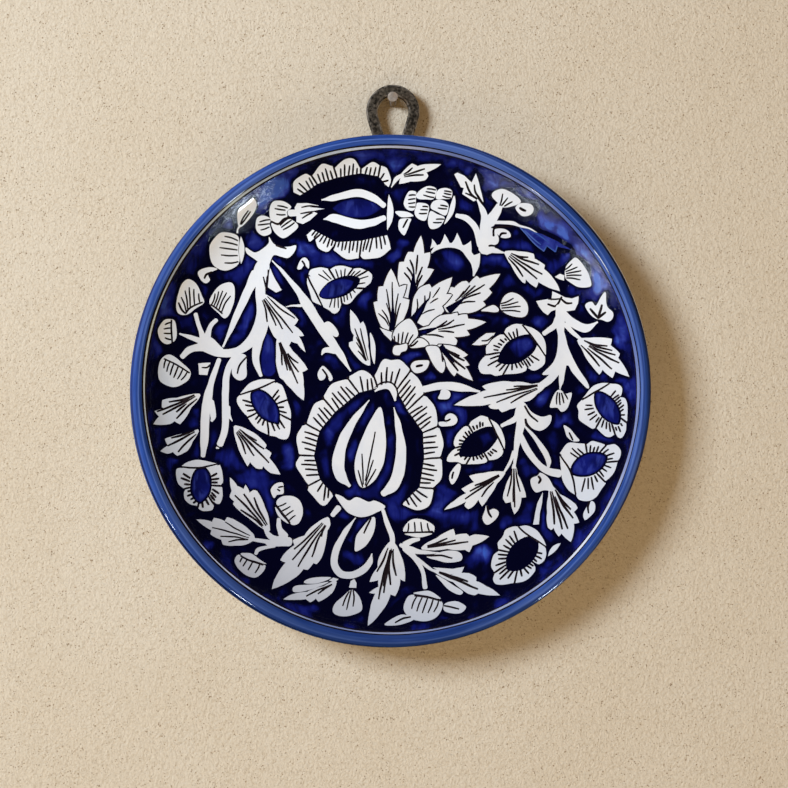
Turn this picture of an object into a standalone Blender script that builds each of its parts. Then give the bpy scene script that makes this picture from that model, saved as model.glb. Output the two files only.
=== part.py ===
"""A glazed ceramic wall plate on its forged iron hanger, with the nail that it hangs from.

Run with: blender --background --python part.py
Metres, +Z up. The front of the plate faces -Y and the wall is the plane y = 0.
The origin is the middle of the nail where it enters the wall.
"Height" below is the distance in front of the wall, so a height h lies at y = -h.
"""

from math import cos, pi, radians, sin, tan

import bmesh
import bpy
from mathutils import Matrix, Vector

MM = 0.001

# Plate. It came out of the kiln slightly oval, with its long axis turned a little from level.
PLATE_RADIUS = 127.0 * MM
PLATE_CENTRE = Vector((-1.2 * MM, 0.0, -144.0 * MM))
OVAL_RATIO = 0.984
OVAL_TURN = radians(7)
PLATE_STEPS = 96

FLOOR_HEIGHT = 14.6 * MM
FLOOR_RADIUS = 86.0 * MM
BODY_THICKNESS = 5.2 * MM
WALL_THICKNESS = 5.4 * MM
WALL_BEND = 47.0 * MM
WALL_SWEEP = radians(45.4)
WALL_STEPS = 9

LIP_RADIUS = 3.4 * MM
LIP_HEIGHT = 27.8 * MM
LIP_INNER_ANGLE = radians(150)
LIP_OUTER_ANGLE = radians(-60)
LIP_STEPS = 10

FOOT_OUTER = 79.2 * MM
FOOT_INNER = 72.4 * MM
FOOT_EDGE = 0.8 * MM
FOOT_FLARE = 1.6 * MM

# Slot through the top of the foot ring, for the two legs of the hanger.
SLOT_WIDTH = 11.6 * MM
SLOT_DEPTH = 5.6 * MM
SLOT_REACH = (FOOT_INNER - 6 * MM, FOOT_OUTER + 6 * MM)
SLOT_END_STEPS = 6

# Hanger: one iron bar bent into an eye. Its legs run together through the foot ring and are
# turned out behind it.
BAR = 5.6 * MM
LEG = 4.2 * MM
BAR_HEIGHT = 5.0 * MM
EYE_CENTRE = -4.7 * MM
EYE_RADIUS = 10.5 * MM
EYE_LEAN = radians(17)
LEG_OFFSET = LEG / 2 + 0.3 * MM
NECK_BEND = 14.0 * MM
CLENCH_BEND = 4.4 * MM
CLENCH_LENGTH = 9.0 * MM
CLENCH_RADIUS = 62.0 * MM
TAPER_START = 0.55
EYE_STEPS = 18
NECK_STEPS = 4
LEG_STEPS = 7
CLENCH_STEPS = 6
# Corner of the bar as a share of its width.
BAR_CORNER = 0.16
BAR_CORNER_STEPS = 2

# Nail, driven in at a slight slant so that its head stands higher than its hole.
NAIL_RADIUS = 1.6 * MM
NAIL_SLANT = radians(7)
NAIL_REACH = 12.4 * MM
NAIL_BURIED = 3.0 * MM
HEAD_RADIUS = 2.6 * MM
HEAD_THICKNESS = 1.3 * MM
HEAD_EDGE = 0.35 * MM
NAIL_STEPS = 20


def arc(centre, radius, start, end, steps):
    """Points of a circular arc, both ends included."""
    return [
        (centre[0] + radius * cos(a), centre[1] + radius * sin(a))
        for a in (start + (end - start) * i / steps for i in range(steps + 1))
    ]


def material(name, colour, roughness, metallic=0.0):
    made = bpy.data.materials.new(name)
    made.use_nodes = True
    shader = made.node_tree.nodes["Principled BSDF"]
    shader.inputs["Base Color"].default_value = (*colour, 1.0)
    shader.inputs["Roughness"].default_value = roughness
    shader.inputs["Metallic"].default_value = metallic
    return made


def add_object(name, data, finish, location=(0, 0, 0)):
    made = bpy.data.objects.new(name, data)
    made.location = location
    data.materials.append(finish)
    bpy.context.scene.collection.objects.link(made)
    return made


def mesh_from(bm, name, smooth_angle=radians(35)):
    mesh = bpy.data.meshes.new(name)
    bm.to_mesh(mesh)
    bm.free()
    mesh.shade_smooth()
    mesh.set_sharp_from_angle(angle=smooth_angle)
    return mesh


def spin_profile(profile, steps):
    """Closed solid from (radius, height) points, which start and end on the axis, turned round the Y axis."""
    bm = bmesh.new()
    points = [bm.verts.new((r, -h, 0)) for r, h in profile]
    edges = [bm.edges.new(pair) for pair in zip(points, points[1:])]
    bmesh.ops.spin(
        bm,
        geom=points + edges,
        cent=(0, 0, 0),
        axis=(0, 1, 0),
        angle=2 * pi,
        steps=steps,
        use_merge=True,
    )
    bmesh.ops.remove_doubles(bm, verts=bm.verts, dist=0.00001)
    bmesh.ops.recalc_face_normals(bm, faces=bm.faces)
    return bm


def plate_profile():
    """Half section of the plate: floor, wall and lip outwards, then the back inwards over the foot ring."""
    bend_centre = (FLOOR_RADIUS, FLOOR_HEIGHT + WALL_BEND)
    lip_centre = (PLATE_RADIUS - LIP_RADIUS, LIP_HEIGHT)
    under = FLOOR_HEIGHT - BODY_THICKNESS
    down = -pi / 2
    front = [(0, FLOOR_HEIGHT), (FLOOR_RADIUS / 2, FLOOR_HEIGHT)]
    wall = arc(bend_centre, WALL_BEND, down, down + WALL_SWEEP, WALL_STEPS)
    lip = arc(lip_centre, LIP_RADIUS, LIP_INNER_ANGLE, LIP_OUTER_ANGLE, LIP_STEPS)
    back = arc(bend_centre, WALL_BEND + WALL_THICKNESS, down + WALL_SWEEP, down, WALL_STEPS)
    foot = [
        (FOOT_OUTER + FOOT_FLARE, under),
        (FOOT_OUTER, under / 2),
        (FOOT_OUTER, FOOT_EDGE),
        (FOOT_OUTER - FOOT_EDGE, 0),
        (FOOT_INNER + FOOT_EDGE, 0),
        (FOOT_INNER, FOOT_EDGE),
        (FOOT_INNER, under / 2),
        (FOOT_INNER - FOOT_FLARE, under),
        (0, under),
    ]
    return front + wall + lip + back + foot


def slot_cutter():
    """Round-ended bar that cuts the slot through the top of the foot ring."""
    half = SLOT_WIDTH / 2 - SLOT_DEPTH / 2
    right = arc((half, -BAR_HEIGHT), SLOT_DEPTH / 2, -pi / 2, pi / 2, SLOT_END_STEPS)
    left = arc((-half, -BAR_HEIGHT), SLOT_DEPTH / 2, pi / 2, 3 * pi / 2, SLOT_END_STEPS)
    bm = bmesh.new()
    end = bm.faces.new([bm.verts.new((x, y, SLOT_REACH[0])) for x, y in right + left])
    pulled = bmesh.ops.extrude_face_region(bm, geom=[end])["geom"]
    moved = [v for v in pulled if isinstance(v, bmesh.types.BMVert)]
    bmesh.ops.translate(bm, verts=moved, vec=(0, 0, SLOT_REACH[1] - SLOT_REACH[0]))
    bmesh.ops.recalc_face_normals(bm, faces=bm.faces)
    return mesh_from(bm, "foot_slot_cutter")


def build_plate(glaze):
    bm = spin_profile(plate_profile(), PLATE_STEPS)
    bmesh.ops.rotate(bm, verts=bm.verts, matrix=Matrix.Rotation(OVAL_TURN, 3, "Y"))
    bmesh.ops.scale(bm, verts=bm.verts, vec=(1, 1, OVAL_RATIO))
    bmesh.ops.rotate(bm, verts=bm.verts, matrix=Matrix.Rotation(-OVAL_TURN, 3, "Y"))
    plate = add_object("plate", mesh_from(bm, "plate"), glaze, PLATE_CENTRE)

    slot_place = (0, 0, PLATE_CENTRE.z)
    cutter = add_object("foot_slot_cutter", slot_cutter(), glaze, slot_place)
    cutter.hide_render = True
    cutter.display_type = "WIRE"
    cut = plate.modifiers.new("foot_slot", "BOOLEAN")
    cut.operation = "DIFFERENCE"
    cut.object = cutter
    return plate


def hanger_half():
    """Centreline of the bar's right half, as (x, z, width) from the top of the eye to the end of the leg."""
    lean_point = arc((0, EYE_CENTRE), EYE_RADIUS, -EYE_LEAN, -EYE_LEAN, 1)[0]
    neck_x = LEG_OFFSET + NECK_BEND * (1 - cos(EYE_LEAN))
    neck_z = lean_point[1] - (lean_point[0] - neck_x) / tan(EYE_LEAN)
    neck_centre = (LEG_OFFSET + NECK_BEND, neck_z - NECK_BEND * sin(EYE_LEAN))
    clench_z = PLATE_CENTRE.z + CLENCH_RADIUS
    clench_centre = (LEG_OFFSET + CLENCH_BEND, clench_z + CLENCH_BEND)

    eye = arc((0, EYE_CENTRE), EYE_RADIUS, pi / 2, -EYE_LEAN, EYE_STEPS)
    neck = arc(neck_centre, NECK_BEND, pi - EYE_LEAN, pi, NECK_STEPS)
    clench = arc(clench_centre, CLENCH_BEND, pi, 3 * pi / 2, CLENCH_STEPS)
    leg = [
        (LEG_OFFSET, neck[-1][1] + (clench[0][1] - neck[-1][1]) * i / LEG_STEPS)
        for i in range(1, LEG_STEPS)
    ]
    end = (clench[-1][0] + CLENCH_LENGTH, clench_z)
    eye.append(tuple(a + (b - a) * TAPER_START for a, b in zip(lean_point, neck[0])))
    wide = [(x, z, BAR) for x, z in eye]
    thin = [(x, z, LEG) for x, z in neck + leg + clench + [end]]
    return wide + thin


def bar_section():
    """Square bar section, one unit wide, with its corners beaten off, as a closed guide curve."""
    half = 0.5
    corner = BAR_CORNER
    curve = bpy.data.curves.new("bar_section", "CURVE")
    curve.dimensions = "2D"
    spline = curve.splines.new("POLY")
    outline = []
    for quarter in range(4):
        turn = quarter * pi / 2
        for x, y in arc((half - corner, half - corner), corner, 0, pi / 2, BAR_CORNER_STEPS):
            outline.append((x * cos(turn) - y * sin(turn), x * sin(turn) + y * cos(turn)))
    spline.points.add(len(outline) - 1)
    for point, (x, y) in zip(spline.points, reversed(outline)):
        point.co = (x, y, 0, 1)
    spline.use_cyclic_u = True
    return curve


def build_hanger(iron):
    section = add_object("bar_section", bar_section(), iron)
    section.hide_render = True
    section.display_type = "WIRE"

    right = hanger_half()
    left = [(-x, z, width) for x, z, width in reversed(right[1:])]
    curve = bpy.data.curves.new("hanger", "CURVE")
    curve.dimensions = "3D"
    curve.bevel_mode = "OBJECT"
    curve.bevel_object = section
    curve.use_fill_caps = True
    curve.twist_mode = "MINIMUM"
    spline = curve.splines.new("POLY")
    spline.points.add(len(left) + len(right) - 1)
    for point, (x, z, width) in zip(spline.points, left + right):
        point.co = (x, -BAR_HEIGHT, z, 1)
        point.radius = width
    return add_object("hanger", curve, iron)


def build_nail(steel):
    head = HEAD_RADIUS
    reach = NAIL_REACH
    profile = [
        (0, -NAIL_BURIED),
        (NAIL_RADIUS, -NAIL_BURIED),
        (NAIL_RADIUS, reach),
        (head - HEAD_EDGE, reach),
        (head, reach + HEAD_EDGE),
        (head, reach + HEAD_THICKNESS - HEAD_EDGE),
        (head - HEAD_EDGE, reach + HEAD_THICKNESS),
        (0, reach + HEAD_THICKNESS),
    ]
    bm = spin_profile(profile, NAIL_STEPS)
    bmesh.ops.rotate(bm, verts=bm.verts, matrix=Matrix.Rotation(-NAIL_SLANT, 3, "X"))
    cut = bmesh.ops.bisect_plane(
        bm,
        geom=bm.verts[:] + bm.edges[:] + bm.faces[:],
        plane_co=(0, 0, 0),
        plane_no=(0, 1, 0),
        clear_outer=True,
    )
    rim = [e for e in cut["geom_cut"] if isinstance(e, bmesh.types.BMEdge)]
    bmesh.ops.contextual_create(bm, geom=rim)
    bmesh.ops.recalc_face_normals(bm, faces=bm.faces)
    return add_object("wall_nail", mesh_from(bm, "wall_nail"), steel)


def main():
    for old in list(bpy.data.objects):
        bpy.data.objects.remove(old)
    build_plate(material("cobalt_glaze", (0.010, 0.022, 0.140), 0.08))
    build_hanger(material("forged_iron", (0.045, 0.038, 0.033), 0.55, 0.8))
    build_nail(material("nail_steel", (0.24, 0.21, 0.20), 0.45, 0.8))


main()
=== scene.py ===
"""Looks for a painted ceramic wall plate, its forged iron hanger and its nail.

Metres, +Z up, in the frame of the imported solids. The plate's front faces -Y and the wall is y = 0.
The painting is laid out in millimetres on the plate's face, x to the right and z up from its middle.
Complex numbers stand for its points.
"""

from cmath import rect
from math import cos, hypot, pi, radians, sin, sqrt, tan

import bmesh
import bpy
import numpy as np
from bpy.props import FloatProperty, FloatVectorProperty, PointerProperty
from mathutils import Matrix, Vector, geometry, kdtree, noise


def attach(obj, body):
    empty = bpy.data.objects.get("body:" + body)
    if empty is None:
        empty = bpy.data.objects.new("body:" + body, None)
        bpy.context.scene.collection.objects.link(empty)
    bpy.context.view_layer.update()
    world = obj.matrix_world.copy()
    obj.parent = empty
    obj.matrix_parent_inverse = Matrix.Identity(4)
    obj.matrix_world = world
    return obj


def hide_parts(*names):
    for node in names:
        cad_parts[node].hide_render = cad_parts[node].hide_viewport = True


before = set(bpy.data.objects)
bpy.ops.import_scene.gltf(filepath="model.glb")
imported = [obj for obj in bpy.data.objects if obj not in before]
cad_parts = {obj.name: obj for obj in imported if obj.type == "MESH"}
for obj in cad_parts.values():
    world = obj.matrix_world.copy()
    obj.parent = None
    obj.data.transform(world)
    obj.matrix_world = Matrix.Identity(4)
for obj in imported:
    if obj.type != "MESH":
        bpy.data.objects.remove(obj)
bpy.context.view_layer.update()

bl_info = {
    "name": "Painted wall plate",
    "version": (1, 0, 0),
    "blender": (4, 5, 0),
    "location": "3D View > Sidebar > Wall Plate",
    "description": "Dresses the solids of a hanging ceramic plate with its painting, glaze, iron and steel",
    "category": "Object",
}

MM = 0.001
ROOT = "root"

# Profile of the plate, in millimetres, as in the solids.
PLATE_MIDDLE = Vector((-0.0012, 0.0, -0.144))
PLATE_RADIUS = 127.0
OVAL_RATIO = 0.984
OVAL_TURN = 7.0
FLOOR_HEIGHT = 14.6
FLOOR_RADIUS = 86.0
BODY_THICKNESS = 5.2
WALL_BEND = 47.0
WALL_THICKNESS = 5.4
WALL_SWEEP = radians(45.4)
WALL_TOP = radians(42.0)
LIP_RADIUS = 3.4
LIP_HEIGHT = 27.8
LIP_JOIN = radians(135)
LIP_SEAM = radians(40)
LIP_BACK = radians(-60)
FOOT_OUTER = 79.2
FOOT_INNER = 72.4
FOOT_EDGE = 0.8
FOOT_FLARE = 1.6
INSIDE_SOLID = 0.99996  # keeps the painted shell a few microns inside the solid

# Finishes of the painting, in the order in which the shell's faces number them.
WHITE, INK, EYE, GROUND, WASH, LIP, PALE = "white", "ink", "eye", "ground", "wash", "lip", "pale"
FINISHES = [GROUND, WHITE, INK, EYE, WASH, LIP, PALE]
SHELL = FINISHES + ["back", "clay"]

# Drawing, in millimetres but for the notch, which is a share of the petal, and the seed of the hand's shake.
INK_WIDTH = 0.82
NOTCH = 0.14
HATCH_ROOM = 1.45
HAND_SHAKE = 0.22
HAND_SEED = 1
PALE_RADIUS = 120.3

# Shell of the plate: its steps round the rim and over the lip and then, in millimetres, the spacing of its
# points, the room kept free round outlines, where clay and lip colour end, and the slot for the iron bar.
RIM_STEPS = 256
LIP_RINGS = 9
GRID_STEP = 1.6
RING_STEP = 1.9
FLOOR_ROOM = 0.45
WALL_ROOM = 0.4
LIP_ROOM = 0.2
CLAY_HEIGHT = 0.5
LIP_PAINT_RADIUS = PLATE_RADIUS - 1.6
LIP_PAINT_HEIGHT = LIP_HEIGHT - 2.2
SLOT_WIDTH = 11.6
SLOT_DEPTH = 5.6
BAR_HEIGHT = 5.0

# Middle and radius of the two discs on the map for baked colour.
FACE_DISC = (0.42, 0.415)
BACK_DISC = (0.835, 0.16)


# ------------------------------------------------------------------ painting

shapes = []


def between(a, b, share):
    return a + (b - a) * share


def smooth(points, closed=False, steps=6):
    """Points of a smooth curve that passes through the given ones."""
    pts = list(points)
    if len(pts) < 3:
        return [between(pts[0], pts[-1], i / steps) for i in range(steps + 1)]
    count = len(pts)
    out = []
    for i in range(count if closed else count - 1):
        if closed:
            a, b, c, d = (pts[(i + k) % count] for k in (-1, 0, 1, 2))
        else:
            b, c = pts[i], pts[i + 1]
            a = pts[i - 1] if i else 2 * b - c
            d = pts[i + 2] if i + 2 < count else 2 * c - b
        for k in range(steps):
            t = k / steps
            out.append(0.5 * (2 * b + (c - a) * t + (2 * a - 5 * b + 4 * c - d) * t * t
                              + (3 * b - a - 3 * c + d) * t ** 3))
    return out if closed else out + [pts[-1]]


def bow(a, b, sag, steps=4):
    """Points from a up to but not b along an arc that stands out by sag to the left."""
    side = (b - a) * 1j / (abs(b - a) or 1)
    return [between(a, b, i / steps) + side * sag * 4 * (i / steps) * (1 - i / steps) for i in range(steps)]


def mixed(values, share):
    """Value at a share of the way along evenly spaced values, eased between them."""
    place = share * (len(values) - 1)
    low = min(int(place), len(values) - 2)
    t = place - low
    t = t * t * (3 - 2 * t)
    return values[low] + (values[low + 1] - values[low]) * t


def rounded(a, b):
    """Points of a blunt round end between two sides of a stroke."""
    if abs(a - b) < 0.9:
        return []
    out = (b - a) * 1j * 0.32
    return [between(a, b, 0.15) + out * 0.7, between(a, b, 0.5) + out, between(a, b, 0.85) + out * 0.7]


def brush(finish, guide, widths, steps=7):
    """One brush stroke along a smooth line, as wide as the widths say from its start to its end."""
    line = smooth(guide, steps=steps)
    count = len(line) - 1
    left, right = [], []
    for i, p in enumerate(line):
        ahead = line[min(i + 1, count)] - line[max(i - 1, 0)]
        side = ahead / (abs(ahead) or 1) * 1j * mixed(widths, i / count) / 2
        left.append(p + side)
        right.append(p - side)
    shapes.append((finish, left + rounded(left[-1], right[-1]) + right[::-1] + rounded(right[0], left[0])))


def stroke(guide, widths):
    """One brush stroke of white slip."""
    brush(WHITE, guide, widths)


def ink(*guide, width=INK_WIDTH):
    """One drawn line that starts full and thins towards its end."""
    brush(INK, guide, (width * 0.85, width, width, width * 0.75), 4)


def white(*corners, soft=True):
    """White shape through the given corners, smooth or sharp."""
    shapes.append((WHITE, smooth(corners, closed=True, steps=5) if soft else list(corners)))


def lens(base, tip, left, right):
    """White pointed shape between two arcs."""
    shapes.append((WHITE, bow(base, tip, left, 8) + bow(tip, base, right, 8)))


def leaf(base, tip, left=(), right=(), veins=(), root=0.5, width=INK_WIDTH):
    """Saw-edged leaf. left and right give each side's teeth and the notches between them, seen from the base.
    Veins are lines to the given ends, from near the base or from the share of the way given with an end."""
    axis = (tip - base) / abs(tip - base)
    sides = []
    for side, points in ((1, left), (-1, right)):
        here, line = base + axis * 1j * side * root, []
        for p in [*points, tip]:
            line += bow(here, p, side * 0.045 * abs(p - here), 4)
            here = p
        sides.append(line)
    shapes.append((WHITE, sides[0] + [tip] + sides[1][::-1]))
    for vein in veins:
        end, share = vein if isinstance(vein, tuple) else (vein, 0.09)
        away = ((end - base) * axis.conjugate()).imag
        start = between(base, tip, share) + axis * 1j * away * 0.27
        guide = start, between(start, end, 0.5) - axis * 1j * away * 0.12, end
        brush(INK, guide, (width * 0.5, width * 0.9, width, width * 0.7), 4)


def wedge(base, tip, width):
    """Dark narrow triangle up the middle of a leaf, in the colour of the ground."""
    side = (tip - base) / abs(tip - base) * 1j * width / 2
    middle = between(base, tip, 0.5)
    shapes.append((GROUND, [base + side, middle + side * 0.62, tip, middle - side * 0.62, base - side]))


def along_line(points, share):
    """Point at a share of the way along a smooth line."""
    line = smooth(points, steps=8)
    place = share * (len(line) - 1)
    low = min(int(place), len(line) - 2)
    return between(line[low], line[low + 1], place - low)


def bud(corners, cut, ends, lines=4, crossed=False):
    """Rounded petal through the given corners. Lines run from the cut to the ends, and a crossed petal
    also has a line along the cut."""
    white(*corners)
    if crossed:
        brush(INK, cut, (INK_WIDTH, INK_WIDTH * 1.15, INK_WIDTH), 4)
    for i in range(lines):
        share = (i + 0.5) / lines
        a, b = along_line(cut, share), along_line(ends, share)
        ink(a, between(a, b, 0.5) + (b - a) * 1j * (share - 0.5) * 0.12, b)


def grown(outline, width):
    """Outline moved outwards by width."""
    area = sum((a.conjugate() * b).imag for a, b in zip(outline, outline[1:] + outline[:1]))
    out = []
    for i, p in enumerate(outline):
        ahead = outline[(i + 1) % len(outline)] - outline[i - 1]
        out.append(p - ahead / (abs(ahead) or 1) * 1j * width * (1 if area > 0 else -1))
    return out


def part_whites(first, width=0.6):
    """Ink under each white shape from the first on, a little wider, so that it parts from the ones below."""
    for i in range(len(shapes) - 1, first - 1, -1):
        if shapes[i][0] == WHITE:
            shapes.insert(i, (INK, grown(shapes[i][1], width)))


def petal_row(outer, inner, hatch, reach, bold=1.15, closed=False, gap=None):
    """Row of petals. outer gives each petal's edge as its own few points, inner the line that they spring
    from. Neighbours share a shallow notch, and each petal but the gap is hatched from the inner line."""
    count = len(outer)
    for k, edge in enumerate(outer):
        feet = inner[k], inner[(k + 1) % len(inner)]
        notches = []
        sides = (feet[0], edge[0], k - 1, -1), (feet[1], edge[-1], (k + 1) % count, 0)
        for foot, near, other, end in sides:
            if closed or 0 <= other < count and abs(other - k) == 1:
                near = between(between(near, outer[other][end], 0.5), foot, NOTCH)
            notches.append(near)
        line = smooth(edge, steps=5)
        shapes.append((WHITE, [feet[0], notches[0], *line, notches[1], feet[1]]))
        if k == gap:
            continue
        narrow, wide = abs(feet[1] - feet[0]), abs(notches[1] - notches[0])
        lines = int((narrow * 0.7 + wide * 0.3) / hatch)
        crowded = ((lines + 1) * HATCH_ROOM - narrow) / max(wide - narrow, 0.5)
        start = min(max(crowded, -0.05), 0.35)
        for i in range(lines):
            t = (i + 1) / (lines + 1)
            foot = between(*feet, t)
            end = line[int(t * (len(line) - 1) + 0.5)]
            long = max(reach * (1.0 if (i + k) % 2 else 0.82), start + 0.25)
            ink(*(between(foot, end, share) for share in (start, (start + long) * 0.5, long)),
                width=INK_WIDTH * bold)
    for k in range(0 if closed else 1, count):
        if gap not in (k, (k - 1) % count):
            meet = between(outer[k - 1][-1], outer[k][0], 0.5)
            ink(*(between(inner[k], meet, share) for share in (1.06, 0.5, -0.04)), width=INK_WIDTH * 1.25)


def eye_shape(centre, size, turn, sharp=(0.3, 0.3)):
    """Eye shape, a turned oval whose right and left ends may be drawn out to points."""
    out = []
    for i in range(28):
        x, y = cos(2 * pi * i / 28), sin(2 * pi * i / 28)
        out.append(centre + complex(x * size[0], y * size[1] * abs(y) ** sharp[0 if x > 0 else 1])
                   * rect(1, radians(turn)))
    return out


def ray_hit(outline, centre, toward):
    """Where a ray from the centre towards a point leaves an outline."""
    best, far = centre, 0
    d = (toward - centre) / abs(toward - centre)
    for p, q in zip(outline, outline[1:] + outline[:1]):
        e, w = q - p, p - centre
        det = (d.conjugate() * e).imag
        if abs(det) > 1e-9:
            t = (w.conjugate() * e).imag / det
            s = (w.conjugate() * d).imag / det
            if t > far and 0 <= s <= 1:
                best, far = centre + d * t, t
    return best


def ring_flower(outer, eye, cut, gap, blue=None, hatch=2.5, reach=0.66, bold=1.15, dark=False):
    """Open flower: petals round a dark eye. outer gives each petal's edge, going round, and eye and blue the
    shapes of the dark eye and of the blue in it; a dark flower has only the ground in its eye. cut is a drawn
    line that takes the outer part off the petal numbered by gap, which isn't hatched."""
    middle = eye[0]
    heart = eye_shape(*eye)
    inner = []
    for k in range(len(outer)):
        meet = between(outer[k - 1][-1], outer[k][0], 0.5)
        inner.append(between(middle, ray_hit(heart, middle, meet), 0.97))
    petal_row(outer, inner, hatch, reach, bold, closed=True, gap=gap)
    shapes.append((GROUND, heart))
    if not dark:
        shapes.append((EYE, eye_shape(*(blue or (middle, (eye[1][0] * 0.93, eye[1][1] * 0.9), *eye[2:])))))
    fold = outer[gap]
    line = smooth(cut, steps=5)
    if abs(line[-1] - fold[-1]) < abs(line[-1] - fold[0]):
        line.reverse()
    shapes.append((WHITE, smooth(fold, steps=5) + line))
    ink(*cut, width=INK_WIDTH * 1.2)


def main_blossom():
    outer = [[-28.5-52j, -33.5-56.6j, -40.8-49j], [-41.5-45j, -46.6-37j, -45-32.6j],
        [-45.2-30.6j, -46.4-23j, -43.5-17.2j], [-41-14.4j, -38-7j, -34-4.6j],
        [-32.8-2.4j, -29+3.4j, -22.2+5.6j], [-20.2+7.4j, -14.5+10.2j, -10.4+8.6j, -8.6+6.6j],
        [-7.6+8j, -3.6+15.4j, 0.4+15.2j, 5+15.2j, 9.4+11j], [10.4+9.4j, 14+6j, 16.6+0.8j],
        [18-2.8j, 22-8j, 23.4-16j], [24.4-18.6j, 26.2-26j, 25-31.8j], [25.4-34.2j, 25.4-42.6j, 21.8-47.2j],
        [21.2-49.4j, 19-56.6j, 13-58.8j, 6.2-56.2j]]
    inner = [-29.2-50.4j, -34.8-43.6j, -37.9-32j, -35.2-19.8j, -27.4-10.4j, -15.8-0.8j, -6.2+1.6j, 3+0.6j,
        8.4-9.3j, 16.2-20.6j, 16.6-33.6j, 14.4-47.6j, 6.4-55.2j]
    petal_row(outer, inner, hatch=2.75, reach=0.74, bold=1.25)
    stroke([-7.6-0.2j, -4.2+1.9j, -0.6+2.2j, 1.7-0.6j, 2.4-4.6j], (0.8, 2.2, 3.2, 3, 1))
    brush(INK, [-7.8+1.6j, -4.4+4j, 4.2j, 3+1.4j, 3.8-3j], (0.4, 0.9, 0.9, 0.9, 0.6))
    stroke([-10.3-4.4j, -17.6-13.8j, -23.2-24j, -25.7-34.5j, -24.6-41.5j, -20.2-47j],
        (0.5, 3.4, 5, 6.2, 5.6, 1.6))
    stroke([1.7-8j, 4-18j, 5.2-29j, 4.2-39j, 1.4-46.5j, -3.6-50.8j], (0.5, 3.2, 5, 5.8, 5.6, 3))
    white(-5-8j, -9.6-14j, -14.4-24j, -17.6-35j, -17-43j, -14.6-47.3j, -11.6-47j, -7.4-43.5j, -3.6-36j,
        -2.2-27j, -3-16j)
    for end in (-16-39j, -14-31j, -7.5-20j, -8.4-34j, -7-38.5j):
        foot = (-13-46j) + (end - (-11.5-30j)) * 0.16
        ink(foot, between(foot, end, 0.5), end)
    white(-27.4-51.4j, -24.2-51.8j, -20.6-54j, -16.6-52.4j, -11-54.8j, -7.4-54.2j, -2.6-57j, -6.5-59.8j,
        -11.5-61.8j, -16.5-62j, -21-60j, -24.2-56.4j)


def top_flower():
    outer = [[-47.6+97.6j, -47.2+102.4j, -42+106j, -39+105.2j], [-38+105.6j, -33.5+110.6j, -28.4+110j],
        [-27.2+109.2j, -22.5+113j, -18+113.4j, -15+109.4j], [-14+109j, -9+112j, -5.4+110.6j],
        [-4.6+110.4j, -1.6+109j, 0.2+104j, -1+100.6j]]
    inner = [-44.4+96.2j, -36+101.6j, -26.4+104.8j, -14.6+107j, -5.8+105.6j, -2.6+101.8j]
    petal_row(outer, inner, hatch=2.3, reach=0.72)
    outer = [[0.3+70.2j, -5+66.2j, -12.6+65.2j, -14.8+66.6j], [-15.8+65.6j, -22+65.4j, -28+69.6j],
        [-28.4+71.6j, -31.2+68.8j, -35.4+70.6j, -37+74.4j], [-37.2+76j, -40+73.8j, -41.4+77.2j]]
    inner = [-1.6+77j, -14.2+74.2j, -27+73.6j, -34.4+77.6j, -38.5+79.6j]
    petal_row(outer, inner, hatch=2.1, reach=0.66)
    stroke([-34+94.2j, -27.5+95.3j, -17+97.7j, -9.5+95.9j, -3.2+91.6j], (0.6, 3, 3.6, 3.6, 2.6))
    stroke([-33+84.9j, -27.4+85.3j, -17+82.5j, -9.5+83.2j, -3+85.6j], (0.5, 4.4, 4.4, 3.8, 2.6))
    shapes.append((EYE, eye_shape(-16.5+90.3j, (12.6, 5), 0, (0.8, 0.7))))
    lens(-0.8+97j, -1.5+79.4j, 2.6, 0.6)
    bud([-55+93.5j, -51.4+92.8j, -48.8+90.6j, -50.9+88.2j, -51+85.8j, -54.6+83j, -58.6+84j, -59.3+88.6j,
        -58+92.6j], [-49.8+90.4j, -51.6+88.9j, -51.6+85.6j], [-54.8+91.8j, -56.8+89.8j, -55.6+85.6j], 3)
    bud([-58.6+82.6j, -57+78j, -53+75.5j, -49.2+77.6j, -45.6+81.4j, -48+84j, -51.4+85j, -54.6+82.2j],
        [-51.6+85.2j, -48.8+84.3j, -46.6+82.6j], [-54.6+82j, -54+80.6j, -52.6+79j], 3)
    bud([-59+85j, -62.6+86.3j, -65.6+85j, -66.2+80.6j, -64.6+77.6j, -62+76.4j, -58.7+78j, -59.4+82j],
        [-58.8+85.6j, -59.3+82.4j, -59.6+80j], [-63.9+83.9j, -65.2+81.8j, -63+78j], 3)
    brush(INK, [-48.6+85.4j, -52.4+84.7j, -55.2+82.3j, -58.6+83.6j], (1.2, 1.1, 1.1, 0.9))
    stroke([-49.6+87.6j, -46+87.8j], (3.2, 3.2))
    white(-47.2+90.4j, -46+92.5j, -41+92.6j, -35.2+91.4j, -40+90.6j, -32.4+90j, -38.5+88.8j, -36+87.7j,
        -39.8+84.4j, -43.2+82.4j, -46.4+83.4j, -46.2+86j, soft=False)
    ink(-36+91j, -40+91.2j, -43.8+90.6j)
    ink(-38+88.6j, -41+88.1j, -44.3+87.5j)
    ink(-38.5+88j, -41+86.9j, -43.6+85.1j)


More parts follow.
